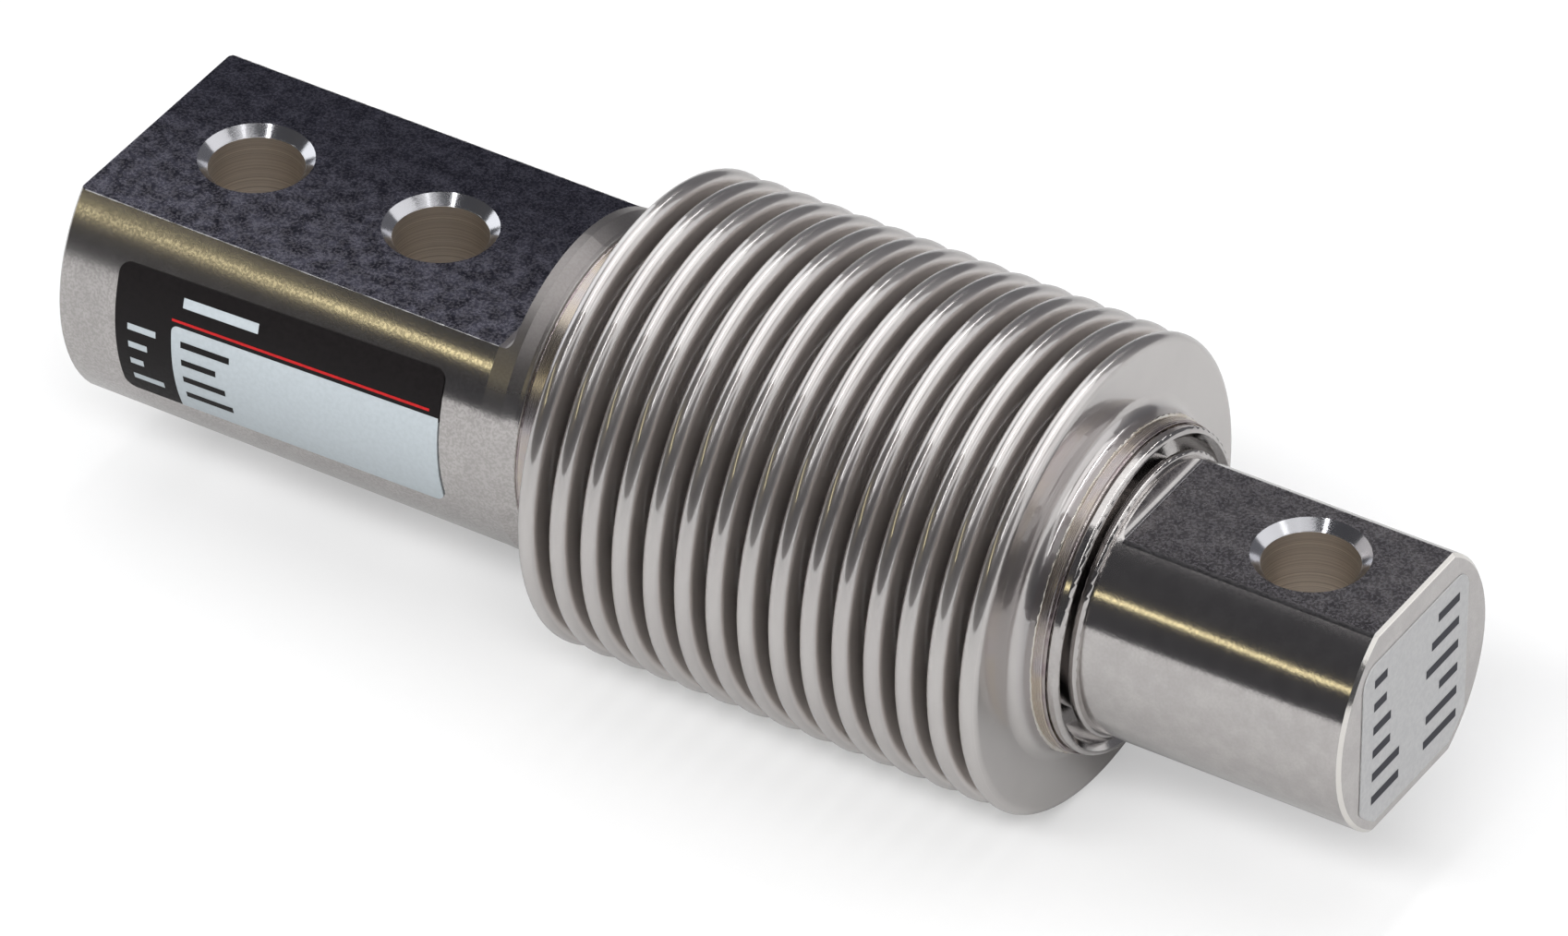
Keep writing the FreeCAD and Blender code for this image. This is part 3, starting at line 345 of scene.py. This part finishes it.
def bellows_steel():
    """Formed thin stainless: satin crests under a glossy skin, flanks between the folds
    that the rolls left rougher, with painted light towards the crests and painted shade
    deep in the folds, and cuffs darkened by the welding heat."""
    made, s, surface = material(
        "bellows_steel", metallic=1.0, coat_weight=1.0, coat_roughness=0.03, coat_ior=3.0)
    place = s.place()
    x, y, z = s.split(place)
    radius = s.length(y, s.math("SUBTRACT", z, AXIS_Z))
    normal_x = s.split(s.node("ShaderNodeNewGeometry").outputs["Normal"])[0]
    away = s.math("ABSOLUTE", s.math("SUBTRACT", x, BELLOWS_MIDDLE_X))
    between_discs = BELLOWS_HALF_LENGTH - DISC_TO_CUFF_END - 0.2 * MM
    folded = s.math("LESS_THAN", away, between_discs)
    flank = s.times(s.ramp(s.math("ABSOLUTE", normal_x), 0.75, 0.97), folded)
    flank_top = BELLOWS_RADIUS - CREST_ROUND
    # Painted shade deep between the folds, rising to painted light near the crests
    height = s.ramp(radius, flank_top - FLANK_DEPTH, flank_top)
    heat = s.ramp(away, BELLOWS_HALF_LENGTH - HEAT_START, BELLOWS_HALF_LENGTH - HEAT_FULL, 0.0, 0.7)
    cloud = s.ramp(s.noise(place, 14 * MM, 3.0), 0.35, 0.65)
    tone = s.mix(cloud, (0.54, 0.50, 0.485), (0.59, 0.555, 0.535))
    tone = s.mix(flank, tone, s.mix(height, (0.44, 0.40, 0.385), (0.84, 0.79, 0.76)))
    s.feed(surface.inputs["Base Color"], s.mix(heat, tone, (0.27, 0.24, 0.245)))
    rough = s.ramp(cloud, 0.0, 1.0, 0.31, 0.35)
    s.feed(surface.inputs["Roughness"], s.blend(flank, rough, 0.62))
    return made


def ring_steel():
    """Turned ring beside the welds, straw to violet where the heat reached it."""
    made, s, surface = material("ring_steel", metallic=1.0)
    place = s.place()
    x = s.split(place)[0]
    patches = s.ramp(s.noise(place, 5 * MM), 0.35, 0.65)
    grooves = s.noise(s.join(x, 0.0, 0.0), 0.12 * MM)
    s.feed(surface.inputs["Base Color"], s.mix(patches, (0.58, 0.51, 0.43), (0.54, 0.50, 0.51)))
    s.feed(surface.inputs["Roughness"], s.ramp(grooves, 0.3, 0.7, 0.2, 0.3))
    s.feed(surface.inputs["Normal"], s.bump(grooves, 0.004 * MM))
    return made


def plain_metal(name, light, dark, low_rough, high_rough):
    """Small metal parts: two tones in a fine noise."""
    made, s, surface = material(name, metallic=1.0)
    fine = s.ramp(s.noise(s.place(), 1.2 * MM, 3.0), 0.3, 0.7)
    s.feed(surface.inputs["Base Color"], s.mix(fine, dark, light))
    s.feed(surface.inputs["Roughness"], s.ramp(fine, 0.0, 1.0, low_rough, high_rough))
    s.feed(surface.inputs["Normal"], s.bump(fine, 0.004 * MM))
    return made


def plain_surface(name, light, dark, rough, size=1.5 * MM, bump=0.004 * MM, specular=0.5):
    """Parts that aren't metal: two tones in a fine noise and a slight texture."""
    made, s, surface = material(name, metallic=0.0, specular_ior_level=specular)
    fine = s.ramp(s.noise(s.place(), size, 3.0), 0.3, 0.7)
    s.feed(surface.inputs["Base Color"], s.mix(fine, dark, light))
    s.feed(surface.inputs["Roughness"], s.ramp(fine, 0.0, 1.0, rough - 0.04, rough + 0.04))
    s.feed(surface.inputs["Normal"], s.bump(fine, bump))
    return made


def printed(name, light, dark):
    """Printed or plain film: nearly even colour with a faint texture."""
    return plain_surface(name, light, dark, 0.5, size=0.5 * MM, bump=0.001 * MM, specular=0.2)


def add_piece(name, mesh, finish, smooth=True):
    """New object from a mesh, riding on the part."""
    piece = bpy.data.objects.new(name, mesh)
    bpy.context.scene.collection.objects.link(piece)
    mesh.materials.append(finish)
    if smooth:
        mesh.shade_smooth()
    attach(piece, "root")


def finished_mesh(name, mesh):
    """Mesh data from a bmesh, its faces turned outwards."""
    bmesh.ops.recalc_face_normals(mesh, faces=mesh.faces)
    made = bpy.data.meshes.new(name)
    mesh.to_mesh(made)
    mesh.free()
    return made


# Waves round a weld seam: share of its width or height, count round it and start
SEAM_WANDER = ((0.05, 7, 0.0), (0.04, 19, 1.0))
SEAM_RIPPLE = ((0.10, 90, 0.0), (0.08, 23, 0.0))
SEAM_STEPS_ROUND = 720
SEAM_STEPS_ACROSS = 8
SEAM_SUNK = 0.1 * MM


def waves(parts, angle):
    """Sum of the waves at an angle round the seam."""
    return sum(size * math.sin(angle * count + start) for size, count, start in parts)


def skin(mesh, rows):
    """Faces from each row of vertices to the next, closed round the row."""
    for row, after in zip(rows, rows[1:]):
        for j in range(len(row)):
            k = (j + 1) % len(row)
            mesh.faces.new((row[j], row[k], after[k], after[j]))


def seam_profile(height, sunk):
    """Section of a seam: sideways place from -1 to 1, and height over its feet."""
    sides = [2 * j / SEAM_STEPS_ACROSS - 1 for j in range(SEAM_STEPS_ACROSS + 1)]
    arch = [(side, height * math.sqrt(max(0.0, 1 - side * side))) for side in sides]
    return [(-1, -sunk)] + arch + [(1, -sunk)]


def seam_mesh(name, x, radius, half_width, height, sunk):
    """Weld seam round the centre line: a low smooth arch whose width breathes a little.
    Its two feet stand at radius and its hidden edges reach sunk below."""
    mesh = bmesh.new()
    rows = []
    for i in range(SEAM_STEPS_ROUND):
        angle = math.tau * i / SEAM_STEPS_ROUND
        wander = waves(SEAM_WANDER, angle)
        ripple = 1 + waves(SEAM_RIPPLE, angle)
        row = []
        for side, lift in seam_profile(height * ripple, sunk):
            reach = radius + lift
            y = reach * math.cos(angle)
            z = AXIS_Z + reach * math.sin(angle)
            row.append(mesh.verts.new((x + half_width * (side + wander), y, z)))
        rows.append(row)
    skin(mesh, rows + rows[:1])
    return finished_mesh(name, mesh)


def weld_material(name, bright, tint):
    """Weld metal: bright, with the heat's tint in patches."""
    made, s, surface = material(name, metallic=1.0)
    patches = s.ramp(s.noise(s.place(), 2.5 * MM, 3.0), 0.35, 0.65)
    s.feed(surface.inputs["Base Color"], s.mix(patches, bright, tint))
    s.feed(surface.inputs["Roughness"], s.ramp(patches, 0.0, 1.0, 0.16, 0.26))
    return made


def add_welds():
    """Seams from each cuff to its ring, and from each ring to the beam's lip."""
    cuff_metal = weld_material("cuff_weld_metal", (0.74, 0.71, 0.66), (0.62, 0.56, 0.48))
    lip_metal = weld_material("lip_weld_metal", (0.46, 0.42, 0.40), (0.36, 0.30, 0.31))
    lip_radius = RING_RADIUS - 0.14 * MM
    for name, x in (("fixed_cuff_seam", BELLOWS_LOW[0]), ("load_cuff_seam", BELLOWS_HIGH[0])):
        mesh = seam_mesh(name, x, RING_RADIUS, 0.16 * MM, 0.30 * MM, SEAM_SUNK)
        add_piece(name, mesh, cuff_metal)
    for name, x in (("fixed_lip_seam", FIXED_RING_LOW[0]), ("load_lip_seam", LOAD_RING_HIGH[0])):
        mesh = seam_mesh(name, x, lip_radius, 0.24 * MM, 0.08 * MM, SEAM_SUNK)
        add_piece(name, mesh, lip_metal)


# Burrs: the sizes that they drift between, the first size, the share of the way that
# each step goes, and the length of a step
BURR_SIZES = [size * MM for size in (0.012, 0.03, 0.05, 0.07, 0.09)]
BURR_FIRST_SIZE = 0.04 * MM
BURR_DRIFT = 0.6
BURR_STEP = 0.4 * MM


def burr_mesh(name, low_x, high_x, y, z):
    """Fine raised burr along a milled edge, broken where it was knocked off."""
    chance = random.Random(11)
    mesh = bmesh.new()
    rows = []
    count = round((high_x - low_x) / BURR_STEP)
    size = BURR_FIRST_SIZE
    for i in range(count + 1):
        x = low_x + (high_x - low_x) * i / count
        target = chance.choice(BURR_SIZES)
        size += (target - size) * BURR_DRIFT
        rows.append([
            mesh.verts.new((x, y - size, z - size * 0.4)),
            mesh.verts.new((x, y - size * 0.3, z + size * 0.8)),
            mesh.verts.new((x, y + size, z + size * 0.2)),
            mesh.verts.new((x, y + size * 0.2, z - size)),
        ])
    skin(mesh, rows)
    return finished_mesh(name, mesh)


def add_burrs():
    """Burrs along both long edges of the fixed end's upper flat."""
    metal = plain_metal("burr_metal", (0.86, 0.86, 0.88), (0.70, 0.70, 0.72), 0.2, 0.35)
    half_width = math.sqrt(FIXED_RADIUS ** 2 - (FLAT_TOP - AXIS_Z) ** 2)
    low_x = BEAM_LOW[0] + 0.6 * MM
    high_x = COLLAR_START
    for name, y in (("near_burr", -half_width), ("far_burr", half_width)):
        add_piece(name, burr_mesh(name, low_x, high_x, y, FLAT_TOP), metal)


# The rating label's own flat coordinates: s along it, t up it, from its middle
RATING_TILT = math.radians(1.5)
RATING_LENGTH = 40.9 * MM
RATING_HEIGHT = 16.3 * MM
RATING_CORNER = 1.3 * MM
RATING_MIDDLE_X = (RATING_LOW[0] + RATING_HIGH[0]) / 2
RATING_MIDDLE_Z = (RATING_LOW[2] + RATING_HIGH[2]) / 2
RATING_RADIUS = -RATING_LOW[1]
PANEL_LOW_S = 7.2 * MM - RATING_LENGTH / 2
PANEL_HIGH_T = RATING_HEIGHT / 2 - 5.0 * MM
ROW_INSET = 1.2 * MM
WIRING_MIDDLE_Z = (WIRING_LOW[2] + WIRING_HIGH[2]) / 2
PRINT_STEP = 0.02 * MM
CORNER_STEPS = 8


def on_rating_label(s, t, level):
    """Place of a point on the rating label, level print layers above its film."""
    x = RATING_MIDDLE_X + s * math.cos(RATING_TILT) - t * math.sin(RATING_TILT)
    z = RATING_MIDDLE_Z + s * math.sin(RATING_TILT) + t * math.cos(RATING_TILT)
    radius = RATING_RADIUS + PRINT_STEP * level
    return Vector((x, -math.sqrt(radius ** 2 - (z - AXIS_Z) ** 2), z))


def on_wiring_label(s, t, level):
    """Place of a point on the wiring label, level print layers above its film."""
    return Vector((WIRING_HIGH[0] + PRINT_STEP * level, s, WIRING_MIDDLE_Z + t))


def rounded_outline(low_s, high_s, low_t, high_t, radii):
    """Outline of a rectangle with round corners. The radii go round it from its low corner."""
    corners = (
        (low_s, low_t, 180, radii[0]),
        (high_s, low_t, 270, radii[1]),
        (high_s, high_t, 0, radii[2]),
        (low_s, high_t, 90, radii[3]),
    )
    points = []
    for s, t, start, radius in corners:
        if radius <= 0:
            points.append((s, t))
            continue
        centre_s = s + radius if s == low_s else s - radius
        centre_t = t + radius if t == low_t else t - radius
        for step in range(CORNER_STEPS + 1):
            angle = math.radians(start + 90 * step / CORNER_STEPS)
            points.append((centre_s + radius * math.cos(angle), centre_t + radius * math.sin(angle)))
    return points


def cut_into_strips(mesh, axis, width):
    """Cut flat faces so that none is wider than width along one axis."""
    places = [vertex.co[axis] for vertex in mesh.verts]
    low = min(places)
    reach = max(places) - low
    count = math.ceil(reach / width)
    normal = Vector([float(i == axis) for i in range(3)])
    for strip in range(1, count):
        everything = mesh.verts[:] + mesh.edges[:] + mesh.faces[:]
        level = normal * (low + reach * strip / count)
        bmesh.ops.bisect_plane(mesh, geom=everything, plane_co=level, plane_no=normal)


def print_mesh(name, outlines, onto):
    """Thin flat shapes laid on a label, cut small so that they follow its curve."""
    mesh = bmesh.new()
    for outline in outlines:
        mesh.faces.new([mesh.verts.new((s, t, 0)) for s, t in outline])
    cut_into_strips(mesh, 0, 3 * MM)
    cut_into_strips(mesh, 1, 0.5 * MM)
    for vertex in mesh.verts:
        vertex.co = onto(vertex.co.x, vertex.co.y)
    return finished_mesh(name, mesh)


def add_print(name, outlines, onto, level, finish):
    """One layer of print: every outline in the same ink."""
    mesh = print_mesh(name, outlines, lambda s, t: onto(s, t, level))
    add_piece(name, mesh, finish, smooth=False)


def bar(s, t, length, height):
    """Plain bar starting at s, its middle at t."""
    return rounded_outline(s, s + length, t - height / 2, t + height / 2, (0, 0, 0, 0))


def add_rating_field(ink, pale, accent):
    """Dark field with a pale panel and a thin accent rule."""
    half_s = RATING_LENGTH / 2
    half_t = RATING_HEIGHT / 2
    field = rounded_outline(-half_s, half_s, -half_t, half_t, [RATING_CORNER] * 4)
    add_print("rating_field", [field], on_rating_label, 1, ink)
    radii = (0, RATING_CORNER, 0, 0.8 * MM)
    panel = rounded_outline(PANEL_LOW_S, half_s, -half_t, PANEL_HIGH_T, radii)
    add_print("rating_panel", [panel], on_rating_label, 2, pale)
    rule_length = half_s - PANEL_LOW_S - ROW_INSET
    rule = [bar(PANEL_LOW_S, PANEL_HIGH_T + 0.6 * MM, rule_length, 0.3 * MM)]
    add_print("rating_rule", rule, on_rating_label, 2, accent)


def add_rating_print():
    """The field, two columns of plain bars and a wider bar over them."""
    ink = printed("print_black", LABEL_INK, shade(LABEL_INK, 0.7))
    pale = printed("print_pale", LABEL_PALE, shade(LABEL_PALE, 0.93))
    accent = printed("print_accent", linear(186, 36, 38), linear(172, 32, 34))
    add_rating_field(ink, pale, accent)
    row_step = 2.3 * MM
    row_height = 0.8 * MM
    first_row = PANEL_HIGH_T - 2.0 * MM
    heads_s = 1.6 * MM - RATING_LENGTH / 2
    heads = (3.6, 2.4, 1.7, 3.9)
    values_s = PANEL_LOW_S + ROW_INSET
    values = (6.2, 4.4, 5.4, 6.0)
    left = []
    right = []
    for row, (head, value) in enumerate(zip(heads, values)):
        level = first_row - row_step * row
        left.append(bar(heads_s, level, head * MM, row_height))
        right.append(bar(values_s, level, value * MM, row_height))
    add_print("rating_row_heads", left, on_rating_label, 2, pale)
    add_print("rating_row_values", right, on_rating_label, 3, ink)
    title = [bar(values_s, RATING_HEIGHT / 2 - 2.2 * MM, 9.5 * MM, 1.1 * MM)]
    add_print("rating_title", title, on_rating_label, 2, pale)


def add_wiring_print():
    """Two columns of plain bars."""
    ink = printed("chart_ink", (0.045, 0.045, 0.055), (0.03, 0.03, 0.04))
    row_step = 3.05 * MM
    row_height = 1.1 * MM
    first_row = 7.9 * MM
    heads_s = -8.6 * MM
    heads = (2.6, 2.6, 3.6, 3.6, 5.6, 5.6)
    values_end = 8.9 * MM
    values = (4.4, 5.6, 6.6, 3.8, 6.4, 6.8)
    left = []
    right = []
    for row, (head, value) in enumerate(zip(heads, values)):
        level = first_row - row_step * row
        left.append(bar(heads_s, level, head * MM, row_height))
        right.append(bar(values_end - value * MM, level, value * MM, row_height))
    add_print("wiring_row_heads", left, on_wiring_label, 1, ink)
    add_print("wiring_row_values", right, on_wiring_label, 1, ink)


def rating_film():
    """Label film: printed dark to its cut edge, pale beside the pale panel."""
    made, s, surface = material("rating_film", metallic=0.0, specular_ior_level=0.2, roughness=0.5)
    place = s.place()
    x, _, z = s.split(place)
    beside_panel = s.times(s.math("GREATER_THAN", x, RATING_MIDDLE_X + PANEL_LOW_S),
                           s.math("LESS_THAN", z, RATING_MIDDLE_Z + PANEL_HIGH_T))
    fine = s.ramp(s.noise(place, 0.5 * MM, 3.0), 0.3, 0.7, 0.93, 1.0)
    tone = s.mix(s.times(beside_panel, fine), LABEL_INK, LABEL_PALE)
    s.feed(surface.inputs["Base Color"], tone)
    return made


def dress_outer_nodes():
    """Finishes of what shows: beam, bellows, rings and gland."""
    dress(beam_steel(), "spring_beam")
    dress(bellows_steel(), "bellows")
    dress(ring_steel(), "fixed_weld_ring", "load_weld_ring")
    gland = plain_metal("gland_steel", (0.66, 0.65, 0.63), (0.52, 0.51, 0.49), 0.2, 0.3)
    dress(gland, "cable_gland_body", "gland_washer", "gland_pressure_screw")
    rubber = plain_surface("seal_rubber", (0.03, 0.03, 0.032), (0.02, 0.02, 0.021), 0.6)
    dress(rubber, "cable_seal")


def dress_inner_nodes():
    """Finishes of what the bellows hides: gauges, leads, board, resistors and resin."""
    film = (0.62, 0.36, 0.09)
    gauges = [f"{level}_{end}_gauge" for level in ("top", "bottom") for end in ("fixed", "load")]
    dress(plain_surface("gauge_film", film, shade(film, 0.8), 0.3), *gauges)
    copper = plain_metal("gauge_lead_copper", (0.70, 0.32, 0.16), (0.5, 0.2, 0.1), 0.25, 0.35)
    dress(copper, *[f"{gauge}_lead" for gauge in gauges])
    laminate = (0.12, 0.24, 0.15)
    dress(plain_surface("board_laminate", laminate, shade(laminate, 0.7), 0.5), "terminal_board")
    enamel = plain_surface("resistor_enamel", (0.34, 0.12, 0.05), (0.24, 0.08, 0.03), 0.3)
    dress(enamel, *[f"{trim}_resistor" for trim in ("zero_trim", "span_trim", "temperature_trim")])
    resin = plain_surface("potting_resin", (0.05, 0.05, 0.06), (0.03, 0.03, 0.04), 0.3)
    dress(resin, "potting_plug")
    insulation = {
        "blue": (0.05, 0.12, 0.5),
        "black": (0.02, 0.02, 0.02),
        "white": (0.8, 0.8, 0.78),
        "red": (0.55, 0.03, 0.02),
        "green": (0.03, 0.32, 0.08),
        "grey": (0.3, 0.3, 0.3),
    }
    for colour, tone in insulation.items():
        dress(plain_surface(f"wire_{colour}", tone, shade(tone, 0.85), 0.45), f"{colour}_lead_wire")


def dress_labels():
    """Films under the print."""
    dress(rating_film(), "rating_label")
    dress(printed("wiring_film", linear(200, 200, 200), linear(191, 191, 192)), "wiring_label")


def add_camera():
    """Long lens from the photograph's side."""
    camera = bpy.data.cameras.new("camera")
    camera.lens = CAMERA_LENS
    camera.sensor_width = CAMERA_SENSOR
    camera.clip_end = CAMERA_REACH
    holder = bpy.data.objects.new("camera", camera)
    holder.location = CAMERA_PLACE
    holder.rotation_euler = (math.radians(90 - CAMERA_ELEVATION), 0, math.radians(CAMERA_AZIMUTH))
    bpy.context.scene.collection.objects.link(holder)
    bpy.context.scene.camera = holder


def seen_directly(s, seen, mirrored):
    """Strength of a glow that camera and transmission rays see in full, and glossy rays
    as mirrored. It lights nothing else."""
    path = s.node("ShaderNodeLightPath").outputs
    straight = s.times(s.math("ADD", path["Is Camera Ray"], path["Is Transmission Ray"], True), seen)
    return s.math("ADD", straight, s.times(path["Is Glossy Ray"], mirrored))


def add_floor():
    """Pale floor that glows a little for the camera, so that it turns white away from
    the part's shadow."""
    mesh = bpy.data.meshes.new("floor")
    reach = FLOOR_REACH
    corners = [(-reach, -reach, 0), (reach, -reach, 0), (reach, reach, 0), (-reach, reach, 0)]
    mesh.from_pydata(corners, [], [(0, 1, 2, 3)])
    floor = bpy.data.objects.new("floor", mesh)
    floor.location = (0, 0, FLOOR_Z)
    bpy.context.scene.collection.objects.link(floor)
    made = bpy.data.materials.new("floor_paper")
    made.use_nodes = True
    made.node_tree.nodes.clear()
    s = Shader(made.node_tree)
    paper = s.node("ShaderNodeBsdfDiffuse")
    paper.inputs["Color"].default_value = (FLOOR_TONE, FLOOR_TONE, FLOOR_TONE, 1)
    glow = s.node("ShaderNodeEmission")
    s.feed(glow.inputs["Strength"], seen_directly(s, FLOOR_SEEN, FLOOR_MIRRORED))
    both = s.node("ShaderNodeAddShader")
    s.feed(both.inputs[0], paper.outputs[0])
    s.feed(both.inputs[1], glow.outputs[0])
    out = s.node("ShaderNodeOutputMaterial")
    s.feed(out.inputs["Surface"], both.outputs[0])
    mesh.materials.append(made)


def add_world():
    """Dim studio, a little lighter behind the part, and white to the camera."""
    world = bpy.data.worlds.new("studio")
    world.use_nodes = True
    world.node_tree.nodes.clear()
    s = Shader(world.node_tree)
    _, back, up = s.split(s.node("ShaderNodeTexCoord").outputs["Generated"])
    room = s.ramp(back, 0.0, 0.6, ROOM_LEVEL, ROOM_BACK_LEVEL)
    level = s.math("ADD", room, s.ramp(up, -0.02, 0.0, BELOW_HORIZON_LEVEL, 0.0))
    tone = s.join(level, level, s.times(level, ROOM_BLUE))
    camera_ray = s.node("ShaderNodeLightPath").outputs["Is Camera Ray"]
    background = s.node("ShaderNodeBackground")
    s.feed(background.inputs["Color"], s.mix(camera_ray, tone, (1.0, 1.0, 1.0)))
    out = s.node("ShaderNodeOutputWorld")
    s.feed(out.inputs["Surface"], background.outputs[0])
    bpy.context.scene.world = world


def area_lamp(name, size_x, size_y, level):
    """Rectangular lamp. Its level is its brightness in a mirror."""
    lamp = bpy.data.lights.new(name, "AREA")
    lamp.shape = "RECTANGLE"
    lamp.size = size_x
    lamp.size_y = size_y
    lamp.energy = math.pi * level * lamp.size * lamp.size_y
    holder = bpy.data.objects.new(name, lamp)
    bpy.context.scene.collection.objects.link(holder)
    return holder


def across(angle):
    """Width that fills an angle, in degrees, at the lamps' distance."""
    return 2 * LAMP_DISTANCE * math.tan(math.radians(angle / 2))


def add_softbox(name, azimuth, elevation, wide, tall, level, colour=(1, 1, 1), mirrored=True):
    """Lamp that faces the beam's middle, its place and sides in degrees seen from there.
    One that isn't mirrored lights matt surfaces only."""
    holder = area_lamp(name, across(wide), across(tall), level)
    holder.data.color = colour
    turn = math.radians(azimuth)
    rise = math.radians(elevation)
    away = LAMP_DISTANCE * Vector((
        math.cos(rise) * math.cos(turn), math.cos(rise) * math.sin(turn), math.sin(rise)))
    holder.location = Vector(BEAM_MIDDLE) + away
    holder.rotation_euler = (-away).to_track_quat("-Z", "Y").to_euler()
    holder.visible_glossy = mirrored


def add_overhead(name, low_x, high_x, low_y, high_y, level):
    """Level lamp over the part, its sides given from the beam's middle."""
    holder = area_lamp(name, high_x - low_x, high_y - low_y, level)
    middle_x = BEAM_MIDDLE[0] + (low_x + high_x) / 2
    holder.location = (middle_x, (low_y + high_y) / 2, OVERHEAD_HEIGHT)


def add_lamps():
    """Soft lamps with dark gaps between them, which the polished steel mirrors."""
    add_overhead("overhead_strip", -0.08, 0.05, -2.5, 2.7, 7.5)
    add_overhead("overhead_right", 0.3, 1.5, -0.8, 1.8, 1.3)
    add_overhead("overhead_left", -1.4, -0.22, -0.8, 1.8, 1.25)
    add_softbox("front_band", -40, 48, 66, 14, 0.75)
    add_softbox("right_softbox", 20, 24, 62, 46, 0.8)
    add_softbox("left_softbox", 162, 18, 50, 54, 1.15, colour=(0.96, 0.98, 1.0))
    add_softbox("warm_strip", -130, 25.8, 40, 2.9, 2.0, colour=(1.0, 0.88, 0.50))
    add_softbox("front_fill", -80, 49, 60, 12, 15.5, mirrored=False)


dress_outer_nodes()
dress_inner_nodes()
dress_labels()
add_welds()
add_burrs()
add_rating_print()
add_wiring_print()
add_camera()
add_floor()
add_world()
add_lamps()
bpy.context.scene.view_settings.view_transform = "Standard"
